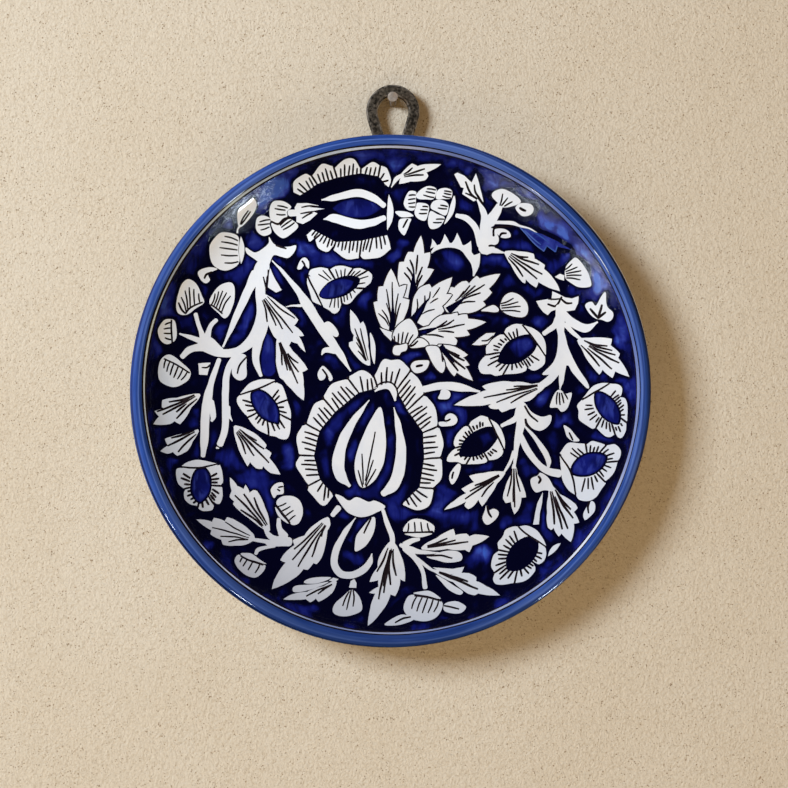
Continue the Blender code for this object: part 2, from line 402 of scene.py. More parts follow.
def left_tree():
    white(-71.2+70.8j, -67+68.4j, -63+70.2j, -60+73j, -59.8+76j, -57.8+73j, -54.5+71.2j, -50+71.3j,
        -46.6+72j, -47.4+68.8j, -50.4+65.9j, -54+66.4j, -57.8+67.1j, -60.2+62j, -64+63j, -67.6+65.6j,
        -70.8+68j)
    ink(-56.6+72j, -54+71j, -51.4+70.3j, width=1)
    stroke([-62+66j, -63.6+60j, -66+55j], (5, 7.5, 6.4))
    stroke([-66+58j, -70.6+49j, -76+37j, -82.6+22j], (6, 4.2, 3.2, 1))
    stroke([-63.2+62j, -64.2+50j, -64+38j, -67.2+27j, -75+20j, -84+18.8j, -92+22.6j],
        (5, 4.8, 4.4, 5.4, 4, 4, 6))
    stroke([-62.6+44j, -62.6+32j, -65.6+24j, -66.4+15j, -64+7.4j], (3, 4.2, 4.4, 3.4, 1.6))
    ink(-62.8+56.4j, -61.9+53j, -61.1+50j)
    white(-59.4+60.8j, -56.6+54.5j, -53.8+50j, -56.4+48.8j, -60.4+51.2j, -60.2+56j, soft=False)
    brush(INK, [-60.2+60j, -60.6+54j, -61.2+50j], (0.8, 0.8, 0.6))
    stroke([-92+25j, -94+31j, -96+38j], (3.4, 2, 2))
    stroke([-91+24j, -88.9+31.6j, -85.8+35.2j], (4, 2.2, 2))
    stroke([-92+24j, -98+26.4j, -103.6+28.2j], (3, 2.2, 0.9))
    stroke([-89+22j, -98+20.8j, -102.6+16.8j], (5, 3.2, 2.4))
    stroke([-94+24.5j, -90+23.4j, -84+19.5j], (3.4, 7, 4.4))
    stroke([-84.6+15.6j, -88.4+5j, -90.4-5j, -91.6-14j, -91.8-24j, -92.5-32j], (2.2, 2.8, 4.6, 4.2, 4, 2.2))
    stroke([-88.6-5j, -87.6-12j, -88.3-14.6j], (3, 2.8, 1.4))
    stroke([-76.2+18.6j, -80.4+10j, -81.6+0j, -81.6-10j, -81.8-19j, -84.2-26.4j],
        (2.6, 3.2, 3.4, 3.4, 3.2, 3.2))
    stroke([-80.4-8j, -79.6-12.4j, -78.2-15j], (2.4, 1.4, 0.5))
    stroke([-85.8-28j, -84.6-28.3j], (1, 0.5))
    white(-75.5+17.8j, -71.4+17.6j, -71.2+12j, -71.2+7j, -74.4+5.2j, -77.6+7.2j, -78.2+11.5j)
    ink(-70.6+17.2j, -74.4+13j, -75.6+8.4j, width=1)
    white(-94.8+13.6j, -89+14j, -90.4+8j, -94.4+8.2j, soft=False)
    ink(-89.2+13j, -90.6+11.6j, -93.2+11.5j)


def left_diagonal():
    stroke([-58.4+64.6j, -51.6+57j, -45.6+49.4j, -40.8+42j, -35.8+34j, -30.5+26j, -25+18.4j, -19.7+9.8j],
        (0.6, 1.8, 3, 5.2, 4.6, 4.6, 3.4, 0.8))
    stroke([-44+42.3j, -48+42.2j, -51.6+41.6j], (1.4, 0.9, 0.4))
    white(-34.8+30.4j, -33.2+33.2j, -30.6+34.4j, -28.2+32.6j, -25.7+28.6j, -26.8+26.8j, -29.4+27.8j,
        -32+28.6j)
    stroke([-34+17.8j, -32+20.2j, -27+20j], (0.6, 2.6, 3.4))
    leaf(-64+48.4j, -41.9+19.2j, left=[-55+43.4j, -45.6+35.2j, -47.6+32.4j, -45+30.4j, -42.6+27.2j,
        -45.2+27j], right=[-62+38j, -57.5+27j, -50.3+22j, -49+24.4j, -46+23.4j],
        veins=[-60.8+34j, -56.6+32.2j, -53.2+30.6j, -48.2+28.8j, -47.2+35.8j], width=1)
    shapes.append((EYE, smooth([-61+28.6j, -57.9+25.4j, -57+18j, -56.8+9j, -60.4+6.8j, -63.6+9j, -64+17j,
        -62.6+25j], True)))
    leaf(-55.3+27j, -42.8-4.6j, left=[-48+19.5j, -41+10.8j, -43.6+9.4j, -43+3j],
        right=[-56.6+18j, -54.8+6.8j, -53+5.6j, -49+1j], veins=[-53.4+12.8j, -50.8+10.2j, -49.4+10j,
        -45.8+3.6j, (-45.4+9.4j, 0.28), (-45.5+13.8j, 0.28)], width=1)
    leaf(-10.6+12.6j, -19.7+40.3j, left=[-14.4+14.6j, -20.5+22j, -20.4+24j, -18.4+24.6j, -18+27.6j,
        -19.4+30j], right=[-11+22j, -12.2+31.6j, -13.6+34.3j, -14.8+33.2j],
        veins=[-17.6+31j, -14.8+31j, -16.8+26.6j, -16.8+24j, -16.2+19.8j])
    white(-10.1+28.4j, -8.6+26.6j, -7.4+21j, -7.9+13.4j, -9.4+18j)
    white(-46.2+60.6j, -44.4+64.8j, -42+65.9j, -40.2+63.6j, -40.4+60.4j, -42.4+62.2j, -44.4+60.2j)
    ink(-43.8+64.4j, -42.6+62.8j, -42+61.2j, width=1)
    white(-33.4+12.4j, -36+8.6j, -34.8+5.3j, -32.4+6.4j, -32.2+10j)
    white(-33+12.3j, -30.6+10.2j, -28.6+6.2j, -30.2+5j, -31.6+8.6j)
    ink(-33.6+10.8j, -32+8.6j, -30.9+6.2j, width=1)


def left_buds():
    bud([-80.4+77.7j, -84.6+76.4j, -88.5+70.4j, -87.4+62.4j, -81.5+59.4j, -74.9+62.8j, -74.8+69.4j,
        -74.9+76j], [-74.9+75j, -75.2+69.5j, -74.9+62.2j], [-80.6+77j, -83.9+70.4j, -81.2+61.2j], 5)
    lens(-73.6+76.2j, -73.7+62.6j, 1.8, 0.9)
    white(-85.2+60.1j, -89+60.8j, -94.3+58.6j, -93.2+54.8j, -90.8+53j, -88.7+54.6j, -89.6+57.2j, -87.6+58.7j)
    ink(-87.8+58.4j, -90.4+57.2j, -91.4+55.2j, width=1.1)
    white(-73.8+80.3j, -74.9+84j, -74.2+88.6j, -70.2+91.8j, -67+94.2j, -65.6+90.6j, -69+84.6j)
    ink(-73.6+81.6j, -72+85j, -69.6+88.4j)
    ink(-73.2+81.6j, -71+84.4j, -68.6+88j)
    stroke([-75.2+77.6j, -74.9+79.4j, -73.8+81j], (0.9, 0.7, 0.9))
    bud([-99.4+54.8j, -95.6+53j, -92.8+47j, -91.9+43.4j, -96.2+40.4j, -100.4+37.4j, -104.2+38.4j, -104.8+43j,
        -102.6+51j], [-100.6+38j, -98.4+41j, -92.4+43.8j], [-103.4+44.6j, -98.6+51j, -93.2+47j], 5,
        crossed=True)
    ink(-100.6+38j, -102.4+40j, -103.8+43.4j, width=1.1)
    bud([-78.8+53.6j, -76.9+50j, -77.4+43.6j, -79.4+38.2j, -82+36j, -85+38.6j, -88.8+42.4j, -88.8+46j,
        -84+52.2j], [-88.8+42.6j, -86+41j, -83+38.2j], [-87.4+47.6j, -82.6+49.6j, -78+46.4j], 5, crossed=True)
    bud([-105.6+34.2j, -108+35.2j, -111+34.2j, -113.4+29.6j, -112.4+25j, -109.4+23j, -105.8+25j, -105+29j],
        [-107.2+34.9j, -107.4+29.5j, -107.2+23.6j], [-110+33.4j, -111+29.2j, -110.2+25j], 4, crossed=True)
    bud([-108.2+18j, -103.4+14.6j, -98.6+9.4j, -100.6+4.6j, -106.6+2j, -112.4+4.6j, -113.8+10j, -112+16j],
        [-111+16j, -105.4+13j, -99+8.8j], [-111.8+12j, -107.4+7j, -102.4+5j], 6, crossed=True)


def left_leaves():
    leaf(-94-1.6j, -115.8-16.2j, left=[-98-8j, -103.6-16.4j, -106-14.8j, -108-16.2j],
        right=[-105-3.2j, -111.9-4.4j, -112-7.8j, -110.4-8.4j, -115.1-9.8j, -113.2-12.4j],
        veins=[-108.8-5.4j, -114.2-10j, -111.6-11.4j, (-105.4-10.4j, 0.3), -105.2-13.6j], width=1.2)
    leaf(-94.8-19.4j, -112.4-29.4j, left=[-97.4-24.8j, -99.6-29.4j, -104.6-31.8j, -106.6-29.8j, -109-30.7j],
        right=[-100-20.9j, -107.6-22.3j, -110.4-23.4j, -109.2-26.8j],
        veins=[-107.6-22.9j, -109.4-26.9j, -104.2-30j], width=1.2)
    leaf(-77.2-17.4j, -54.4-41.2j, left=[-70-19.2j, -63.2-24.2j, -61.2-26.6j, -62-28.4j, -58.8-30.8j,
        -59.9-33j], right=[-75.8-26j, -70.5-37.2j, -69.3-35j, -66.4-38.2j, -63.4-38.4j, -63-37j, -59-40.4j],
        veins=[-71.4-31.2j, -67.4-32j, -60-35.4j, -62.4-28.6j, -66-24.6j, -68-27.6j], width=1.1)
    leaf(-59.8-69j, -79.3-42.8j, left=[-70-62.6j, -77.7-55.8j, -77.2-54.4j, -79.4-52.2j, -78.4-49.4j],
        right=[-61.6-58j, -65.8-49.4j, -67.6-49j, -69.6-50.4j, -71.4-46.2j, -72.4-48.4j, -75.6-47j],
        veins=[-76.8-51.4j, -72.4-50.8j, -67.4-52.6j, -74-58.6j], width=1.2)


def left_flowers():
    ring_flower([[-40.5+57.7j, -39.1+59.9j, -34.8+61j, -30.8+60.5j],
        [-29.8+60.1j, -26.8+61.7j, -23+61.9j, -19+60.7j], [-18.1+60.5j, -15+60.8j, -12+59.6j],
        [-11.1+59.5j, -9.2+57.4j, -9.8+53.7j, -12.6+51.2j],
        [-13.8+50.3j, -16.9+46.9j, -19.9+43.5j, -22.1+42.8j, -23.4+43.5j],
        [-24.3+42.5j, -25.5+39.4j, -28+38.2j, -30.5+40j, -33.1+41.5j],
        [-34.5+42.4j, -38.2+44.4j, -39.7+48.1j, -41+53j, -40.9+56.7j]], (-25.1+51.2j, (11, 4.8), 22,
        (0.2, 0.2)), blue=(-26.5+50.7j, (9.3, 4.3), 22, (0.5, 0.1)),
        cut=(-40.9+56.9j, -37.9+50.6j, -33.5+41.9j), hatch=2.3, reach=0.78, gap=6, bold=0.9)
    ring_flower([[-74.1-1.2j, -71.9+1.4j, -69.1+4.1j, -65.8+5.3j, -62+5.8j, -57.3+5.5j],
        [-56.3+4.2j, -53.8+3j, -52.5+0.2j, -51.1-3.8j], [-50.8-5j, -49.4-9.7j, -49.3-13.5j],
        [-49.3-14.9j, -49.4-19j, -50.5-22.9j, -52.2-23.9j, -54.9-23.4j, -56.9-22.4j, -59.9-21.9j],
        [-60.4-21.6j, -65.3-19.3j, -68-16.8j, -70.2-13.5j],
        [-70.5-12.7j, -73-10.2j, -75.5-6.4j, -75.7-3.6j, -74.7-2.2j]], (-61.4-8j, (10.8, 5.6), -53,
        (0.9, 0)), cut=(-74.2-1.8j, -65.3+1.2j, -56.9+4.9j), hatch=2.25, reach=0.66, gap=0, bold=1.3)
    ring_flower([[-84.2-36.5j, -83.1-39.8j, -82.7-44.7j, -83.5-46.1j],
        [-82.9-47.7j, -82.7-51.8j, -83.7-55.1j, -85.3-55.6j, -87.3-54.3j],
        [-87-56.7j, -87.9-58.5j, -91.6-58.9j, -93.8-57.8j],
        [-94.8-56.2j, -97.9-55.5j, -100.5-53.1j, -101.1-49.9j, -100.5-48.3j],
        [-101.5-47.7j, -103.8-45.5j, -104.9-41.7j, -104.8-38.4j, -103-37.8j],
        [-102.5-36.9j, -99.9-35j, -95.7-33.9j, -91.4-34.3j, -85.5-35.9j]], (-93.2-46.2j, (9.3, 5.2), 88,
        (0, 0.4)), cut=(-102.7-37.3j, -94.6-37.8j, -85.4-36.1j), hatch=2, reach=0.7, gap=5, bold=1.45)


def bottom_left():
    bud([-53.3-45.2j, -56.6-45.8j, -59.2-48.8j, -57.6-52.8j, -56-51.2j, -53-50.6j, -52.8-48j],
        [-53-46.6j, -53.2-48j, -56.2-51j], [-55.6-47.2j, -55.8-48.2j, -56.4-48.6j], 2)
    bud([-56.4-55.4j, -54-52.2j, -49-51.8j, -44.6-54.4j, -43.3-59.6j, -44.8-64.8j, -47.4-66.2j, -50-65j,
        -53-60.8j], [-56.7-56j, -53-60.8j, -49.4-65.4j], [-52.4-54.4j, -48.6-57.8j, -46.4-62.6j], 4,
        crossed=True)
    white(-56.8-57.2j, -55.8-61j, -53-64j, -50.2-65.4j, -53.2-62j)
    stroke([-55.2-63.2j, -54.8-67.5j, -52.6-72j], (1.8, 2.4, 4.6))
    stroke([-62.8-66.8j, -59.4-71.6j, -55-74.5j], (1, 2.6, 4.6))
    stroke([-61-75j, -55-74.2j, -49.8-74.4j], (2.2, 5.2, 4.4))
    stroke([-70-73.1j, -65-73.6j, -60-74.4j], (1, 1.8, 2.2))
    stroke([-66.2-80.2j, -65-78.2j, -61-77j, -57-76.2j], (1.6, 2, 1.6, 2))
    leaf(-67-73j, -95-62.8j, left=[-70-75.2j, -76-75.9j, -82-75.2j, -82.8-73j, -88.2-70j, -87.8-68.2j],
        right=[-67.6-70.4j, -76-63.8j, -80.4-62.1j, -81.4-64j, -86.6-62.2j, -87.6-64.2j],
        veins=[-87.6-66.8j, -81.2-64.4j, -83.4-71.4j, -79.4-74j])
    bud([-74.4-80.2j, -76.2-83j, -74.4-86.8j, -71-89.6j, -66.4-91.4j, -63-89.2j, -61.5-85.7j, -66.4-84.4j,
        -70.6-82.8j], [-73.6-80.6j, -69-83.2j, -62.4-85.4j], [-74.4-82.8j, -71.2-86.8j, -64.6-90j], 4,
        crossed=True)
    white(-73.6-79.7j, -69-79.7j, -64.6-82.6j, -61-85j, -66-83.6j, -70-82.2j)
    stroke([-25.6-57.6j, -28.6-61.2j], (2.8, 2.4))
    leaf(-30.6-62.4j, -58-96.9j, left=[-29.6-66j, -31.2-69j, -34-82j, -36.4-85.5j, -38-85j, -40.6-88.2j,
        -42.8-87.8j, -48-92.6j], right=[-37-65.4j, -42.5-71.4j, -48.2-73.6j, -47.4-76.2j, -52.2-80j,
        -54.3-83.4j, -51.6-84.6j, -56-91j], veins=[-47.6-78.2j, -48.4-83.4j, -45.6-86.8j, -38.8-82j,
        -34-72j], width=1.1)
    white(-29.2-91.9j, -36-91.7j, -41.6-93j, -42.2-94.5j, -37-94.7j, -32-93.4j)
    white(-30.4-94j, -38-95j, -46-95.6j, -47.9-97.2j, -46.4-98.8j, -38-97.2j)
    leaf(-26.6-94j, -52.5-101.6j, left=[-28.6-99.4j, -35.2-103.3j, -36.6-101.8j, -39.2-103.5j, -41.4-102j],
        right=[-33-96j, -41-98.6j, -46.8-99.4j], veins=[-41.4-100.6j, -35.6-99.8j], width=1)
    white(-30.4-93.4j, -28-92j, -25.4-92.8j, -27.6-94.4j, soft=False)
    bud([-19.6-98j, -22.6-100.4j, -27-104j, -28.2-107.8j, -25.4-109.9j, -20-110j, -14.2-107.8j, -14.2-103.6j,
        -17-99j], [-20.6-99j, -19.2-98j, -17.8-98.2j], [-24.4-104.4j, -21.6-107.2j, -16.4-105j], 3)
    white(-20.4-96.8j, -19.6-93.8j, -18-92.7j, -16.8-94.6j, -16.8-97j, soft=False)


def bottom_middle():
    stroke([-17.2-62.6j, -22.6-70.2j, -26.8-78.5j, -27.6-85.5j, -24.4-90.2j, -19-90.8j, -13.6-88.4j,
        -10.4-84.6j, -9.2-80.2j], (0.5, 2.6, 3.4, 3.6, 3.4, 3.4, 3.6, 2.8, 0.6))
    white(-9.6-62.6j, -13-66.2j, -16.6-71j, -17.6-76j, -17.2-79.2j, -12.4-76.6j, -8.6-70.8j, -7.4-66j,
        -7.6-62.6j)
    ink(-9.4-62.4j, -11.4-66.4j, -13.2-70.4j, width=1)
    stroke([-3.8-58.8j, -1-67j, 1-73j, 0.9-81j], (1.8, 2.4, 2.6, 0.8))
    leaf(0.8-74j, -11-114.7j, left=[4.2-78.5j, 6.6-86j, 7.1-94.1j, 4.8-92.8j, 4.4-96.6j, 2.3-101.1j,
        0.1-100.2j, -2.6-106j], right=[-2.6-77j, -6.2-83.6j, -6.4-87j, -10.4-94.1j, -6-93.3j, -5.8-96.4j,
        -10.5-99.2j, -7.6-99.7j, -9.8-107j], veins=[-6.8-89.4j, (-5.9-102.5j, 0.2), -3.2-99.6j,
        (0.2-95.8j, 0.2), 3-91.3j], width=1.2)
    ink(0.4-79j, -1.4-86j, -3-96j, width=2)
    stroke([14.2-73.3j, 11-73.8j, 7-76j], (1.6, 2.4, 3))
    stroke([5-76j, 10-78.4j, 16-79.6j, 25-80j], (1.8, 3.2, 2, 0.5))
    stroke([7.4-77.4j, 12.4-83j, 15.8-88.8j, 17.2-97j], (3.4, 2.6, 2, 2.3))
    stroke([13-82.6j, 18.4-87j, 24-90.4j], (1.6, 1.6, 0.6))
    leaf(15.4-77.8j, 48.8-71.8j, left=[23-72.4j, 31-68.2j, 32-71.2j, 37.6-70.3j, 39-71.8j, 42-70.8j],
        right=[28-78j, 36.8-78.4j, 39-79.6j, 40.4-76.4j], veins=[28.2-72.6j, 32.2-73.6j, 38.4-74.4j],
        width=1.1)
    white(18-82j, 22-80.6j, 27-79j, 32.4-79j, 35.2-81j, 34.6-83.8j, 28-84.6j, 22.5-83.4j)
    ink(17.6-81.4j, 25-81.3j, 30.6-82.5j, width=1)
    white(20.8-87j, 26-87.5j, 31-87.7j, 36.4-86.6j, 34.8-90.2j, 28-90.4j, 23.6-88.6j, soft=False)
    white(22.4-90.8j, 27-93j, 32-96.3j, 35.7-98.8j, 33.6-100.2j, 29-98j, 25-94j)
    leaf(21-88.4j, 53.6-99.8j, left=[30-90.6j, 38.6-89.8j, 42.4-91.6j, 42.2-93.4j, 47-95.8j],
        right=[31-94.2j, 38-99.4j, 41.4-100.2j, 43-99.4j], veins=[38-93.8j, 42.8-97.4j, 32-92.6j], width=1.3)
    bud([6.4-69.4j, 8.2-65.2j, 12-63.1j, 17-63.8j, 21.2-66.2j, 21.6-68.6j, 20.4-69.8j, 14-69.6j],
        [6.6-69.8j, 14-69.8j, 21-69.4j], [7.6-65.6j, 13.4-64.6j, 20-65.4j], 4, crossed=True)
    white(7-70.6j, 13-70.2j, 20.6-70.4j, 15-72.3j, 11-71.8j)
    bud([10-100.3j, 7.2-103.6j, 6.6-107.4j, 9-110.8j, 13-112.2j, 18-112.4j, 22.8-110.4j, 25.4-106.4j,
        24.6-102.9j, 17-101.4j], [11.6-100.7j, 18.5-101.5j, 25-103j], [9.2-106.4j, 15.6-109j, 22.8-108.2j],
        5, crossed=True)
    white(11.2-99.6j, 15-98.7j, 20-98.7j, 24.8-102j, 18-100.8j)
    white(26.4-104.6j, 30-103.3j, 33.6-103.6j, 36.9-105.7j, 34.8-108.4j, 30.5-108.8j, 26.5-107.6j)
    ink(26.2-105.2j, 30-106j, 33.6-106.8j, width=0.9)
    white(-3-114j, 2-110.8j, 6.6-109.6j, 11.4-111.6j, 7-113.5j, 2-114.5j)
    ink(10-110.6j, 6-111.4j, 2.2-113.3j, width=0.9)


def spray():
    first = len(shapes)
    leaf(10.6+42j, 15+76.8j, left=[3.8+54j, 4.4+63.6j, 6.8+63.8j, 8.8+68.6j, 11.4+68.6j],
        right=[14+50.6j, 21.6+60j, 18.2+60.6j, 19.6+68.6j, 16.6+68j], root=2.4, veins=[(13.4+67.4j, 0.45),
        (9.6+65j, 0.45), (8.1+61.2j, 0.4), (6.8+58.6j, 0.3), (15.8+61.4j, 0.3), (15.8+57.4j, 0.2)], width=1.1)
    wedge(10.8+42j, 11.6+61j, 5)
    leaf(27+40.4j, 54.2+57.9j, left=[26.6+47.4j, 29.8+51.3j, 31.6+51j, 35+54j, 37.6+54.3j, 38.8+53j,
        42.6+57j, 44+55.6j], right=[34+38.2j, 42+39.4j, 47+42.6j, 45.6+44.4j, 50.2+48.6j, 48.6+50.4j],
        root=1.4, veins=[(36.2+49.4j, 0.2), (39.4+52.2j, 0.2), (42+52.2j, 0.3), (46.6+52.6j, 0.3),
        (44.6+48.6j, 0.3), (42+44.2j, 0.2)], width=1)
    wedge(28.4+39.6j, 38+47.2j, 4)
    leaf(11.6+35.4j, 30.6+56.2j, left=[11.6+46j, 14.2+50.8j, 19.2+52.8j, 20.2+51j],
        right=[17.6+31.6j, 26.6+39.6j, 25.4+42j, 30.4+47.6j, 27.4+47.8j], root=1.6, veins=[(13.3+45.6j, 0.1),
        (17+47.2j, 0.3), (19.6+49.2j, 0.4), (24.4+51.2j, 0.5), (23.6+45.8j, 0.4), (22+40.4j, 0.15)])
    wedge(11.4+34.8j, 19.4+46.6j, 4.4)
    leaf(13.4+28.4j, 47.2+34j, left=[19+32.2j, 24.6+37.2j, 30+38j, 33+38.8j, 33.2+37.2j, 37.8+37.9j,
        38.4+35.8j], right=[19+22.8j, 32.4+22.8j, 33+25j, 31.6+26.8j, 39.2+27.8j, 37.6+30.2j], root=1.6,
        veins=[(28+34.8j, 0.25), (31.6+35.2j, 0.3), (36.8+33j, 0.3), (31.6+29j, 0.3), (26.4+26.6j, 0.1)],
        width=1)
    wedge(13.4+28.2j, 25+31.8j, 3.6)
    leaf(1.4+29.4j, 0.1+60.4j, left=[-4.6+32j, -8.4+43.8j, -6.3+44.4j, -5.9+51.4j, -3.5+51.7j],
        right=[5+32.8j, 9.5+45.1j, 6+46j, 7.8+52.4j, 4.2+51.4j], root=1.6, veins=[(0.9+54j, 0.2), 3.8+48.2j,
        (-2+50.4j, 0.1), (-1.8+43.4j, 0.1), -4.3+40.2j, -6+38.4j, 5+43.4j])
    wedge(0.8+29.8j, 1.4+46j, 3.2)
    white(-5.4+31.3j, -3+27.8j, 0.4+24.7j, 1.6+27.2j, 1.4+28.8j, soft=False)
    bud([2.6+31j, 6.6+34.6j, 10+35.6j, 12.8+31.4j, 13.4+27.6j, 11.4+25.2j, 8.6+22.6j, 4+23.8j, 1.2+26.4j],
        [1.4+24.6j, 5.4+23j, 9.4+23j], [0.8+26.6j, 6.4+29.2j, 12.4+27.6j], 5)
    white(9.6+21.6j, 11.4+24j, 13.6+26j, 16.6+25.6j, 18.8+22.9j, 14+21.4j)
    ink(9.6+22j, 11.6+22.9j, 13.6+24.8j, width=1)
    white(1.2+19.6j, 2+22j, 4.6+22.6j, 8+23.4j, 7.8+20.4j, 5.4+19.2j, 4.4+17.7j, 2+17.9j)
    leaf(23.4+22.6j, 40.7+5j, left=[31.4+22j, 38.2+17.8j, 35.8+16.6j, 39+12.9j, 36.8+12.2j],
        right=[25.2+19.2j, 27.6+12.6j, 31.6+7.3j, 32.8+9.2j],
        veins=[34+17.4j, 36.4+15j, 36.8+10.8j, 33.4+10j], width=1.3)
    wedge(24.6+22.4j, 32.4+13j, 3)
    white(17.6+21.8j, 23+22j, 25.2+18j, 27+12.4j, 25.2+9j, 21.6+12.6j, 19+17.6j)
    ink(25.4+18.6j, 25.6+16.6j, 25.8+14.4j, width=1)
    white(10+12j, 11.6+14.4j, 15+15.2j, 18.9+15j, 18.8+12.4j, 16.8+10j, 12.4+9j)
    ink(12.8+12.1j, 14.4+12.5j, 15.8+12.7j, width=1.3)
    white(40.2+22.9j, 44+26.2j, 47.4+28.5j, 51.7+28.8j, 50+26.2j, 48+23.4j, 44+22.6j, soft=False)
    ink(45+24.8j, 48+25.1j, 50.8+27.4j)
    bud([54.2+42.4j, 56+46.6j, 59.6+48.7j, 64+47.2j, 67.4+43.6j, 68+39.4j, 66.2+36.8j, 62+36.6j, 57.6+38j,
        54.8+40j], [54.2+43.6j, 54.7+41.6j, 54.9+39j], [59.6+46.8j, 64+43j, 64.2+37.8j], 4)
    white(44.8+39.8j, 50.4+42.4j, 53.4+40.5j, 52.4+39j, 48+39.3j)
    part_whites(first)


def top_right():
    stroke([0.3+100.4j, 3+104.3j, 6.4+106.4j], (0.5, 2, 1.4))
    leaf(5+105.2j, 24.7+110.8j, left=[7.4+108.8j, 10.6+111.4j, 13.4+110.1j, 18+111j],
        right=[4.2+102j, 10+103j, 17+103.7j, 18.7+105.6j, 17.8+107.3j],
        veins=[11+109.5j, 17+108.9j, 16.4+106.1j], width=1)
    for corners, cut, ends, lines in (([12.6+98.3j, 9+98.2j, 6.6+93.4j, 7.6+90.4j, 9.8+89.1j, 12+90j,
            12.8+96j], [12.7+97.6j, 12.4+94j, 12+89.8j], [9+97.4j, 8.6+93.6j, 9.2+90.2j], 4),
            ([12.8+96.4j, 14.6+98.9j, 18.6+100.9j, 22.6+99.3j, 21.4+94.8j, 17.6+94.5j, 14+94.8j],
            [22.6+99.6j, 22+97.3j, 21.4+94.4j], [18+100.2j, 17.4+98.3j, 15.6+96j], 3),
            ([22.6+97.4j, 24+99.2j, 27.4+99.9j, 30.2+98.6j, 29.8+95.2j, 26.4+94.7j, 22.8+94.6j],
            [30.2+98.6j, 30+96.8j, 29.6+94.6j], [26.4+99j, 26.4+97.4j, 25.2+95.4j], 3),
            ([13.6+92.9j, 18.8+91.8j, 18.5+87j, 17+84.1j, 13.4+85.4j, 11.8+88j, 12.6+91j],
            [18.8+91.6j, 18.5+89.4j, 18+86.8j], [16.4+91.8j, 14.8+89.6j, 13.6+86.8j], 3),
            ([20+90.4j, 21+93.3j, 24+94.3j, 27.4+93.4j, 28.7+91j, 27.3+86.8j, 23.4+88.4j],
            [28.5+91.6j, 28.1+90.4j, 27.8+89.4j], [25.2+92.4j, 24+91j, 22.8+89.8j], 2),
            ([19.8+88.8j, 23+87.4j, 26.7+85.8j, 25.2+82j, 22.4+80.3j, 19.4+80.6j, 18.6+84.4j],
            [27.2+85.8j, 26+84j, 25+82.4j], [23.4+85.6j, 21.6+84j, 20.4+82.6j], 2)):
        bud(corners, cut, ends, lines)
    white(31.3+96.3j, 32.1+92j, 30.6+87j, 26.7+82.3j, 28.6+88j, 29.8+92.4j)
    white(2.4+88.2j, 3.4+88.9j, 8+88.6j, 11+87j, 10.4+86.3j, 5.4+86j)
    white(10+85.2j, 5+85j, 3.9+82.4j, 4.4+79.4j, 6.8+76.9j, 8.4+79.6j, 9.4+82.6j)
    ink(8.6+85j, 7.4+82.8j, 6.2+80.6j, width=1)
    white(31.3+106.2j, 32.8+107j, 36.4+105.4j, 39.7+102.2j, 41.8+106.2j, 43.6+101.6j, 45.8+93j, 43.2+94.2j,
        41+93.3j, 35.4+97j, 36.1+99.8j, 34.6+100.2j, soft=False)
    ink(44.4+93.6j, 40.6+96j, 38.6+98.6j, 36.7+102.9j, width=1.1)
    ink(45.4+92.4j, 43.2+95.6j, 41.7+98j, 41.1+101.2j, width=1.1)
    ink(44.8+92.8j, 40.8+95.6j, 36.9+97.4j, width=0.9)
    stroke([42.8+94.2j, 45.9+88j, 47+80j, 47.6+70j], (0.8, 3, 5.6, 8))
    stroke([53.6+91j, 52+88j, 48.6+83j], (3.4, 4.4, 5.6))
    stroke([32.6+86.6j, 38+85j, 42.2+80j, 45+72j], (2, 3, 3, 4))
    stroke([50+83j, 54+83j, 60+82.6j, 64+81.2j, 68.5+79.8j, 72+78j], (1.6, 1.6, 1.8, 1, 0.7, 0.4))
    white(51+80j, 53.4+76j, 53+73j, 50.4+72j, 47+72j, 48+79j)
    white(51.4+79.6j, 55.4+80j, 58.4+78.6j, 59.4+76.2j, 57.4+75.5j, 55+75.8j, 53.4+77j)
    ink(54+76.4j, 55+77.8j, 57.4+77.8j, width=1.1)
    brush(INK, [51+76.6j, 50.9+79.4j, 52.4+80.8j, 60+81j], (1.1, 1.1, 1, 0.8))
    ink(48.6+71.6j, 50+71.8j, 52.2+71.5j, width=1.1)
    white(43.8+70j, 48.6+71j, 52.4+70.5j, 57.4+67.8j, 50+68.3j, 46+68.1j, soft=False)
    bud([49.7+95.8j, 51+98j, 55+98.7j, 59.6+96.8j, 63.8+92.6j, 59.4+90.7j, 55+90.4j, 52.4+92.8j],
        [53.6+91j, 54.6+91j, 56.6+90.6j], [53.6+97.6j, 57.6+94.8j, 61+91.8j], 3)
    white(61.4+89.6j, 62.8+91.6j, 66+92j, 69+91j, 70+88.6j, 68.5+86.3j, 64.6+86j)
    ink(63.4+89.8j, 64.8+88.8j, 66.2+88.3j, width=1.3)
    shapes.append((WASH, [64+80.4j, 70+74j, 75.4+68.6j, 76.6+71.4j, 81+68.4j, 81.6+71j, 88.6+69j,
        82.6+73j, 74+77.4j, ]))
    for line in ([63.8+80.6j, 70+73.6j, 75.4+68.8j], [75.4+68.8j, 76.8+71.4j], [76.8+71.4j, 81.2+68.4j],
            [81.2+68.4j, 82+71.2j], [66+80j, 72+77.4j, 78+72.8j], [66+79j, 70+75.4j, 74+72j]):
        brush(LIP, line, (0.5, 0.6, 0.45))
    stroke([20.2+68.4j, 23.4+70.9j, 29+72j, 35+71j, 39.4+66.6j, 41.8+62j, 41+56.8j],
        (1, 2.2, 2.2, 2.8, 3.4, 3.4, 0.8))
    for a, b, c in ((19.6+70.4j, 20.4+75.2j, 23.2+71.6j), (24.2+71.8j, 26.7+77.6j, 29.6+72.2j),
            (29.8+72.4j, 32.9+78.2j, 35.6+71.4j), (35.6+71.8j, 39.7+74.2j, 39.9+67j),
            (39.6+66.8j, 44.3+68.4j, 43.6+61j)):
        shapes.append((WHITE, bow(a, b, -0.3) + bow(b, c, 0.2) + [c]))


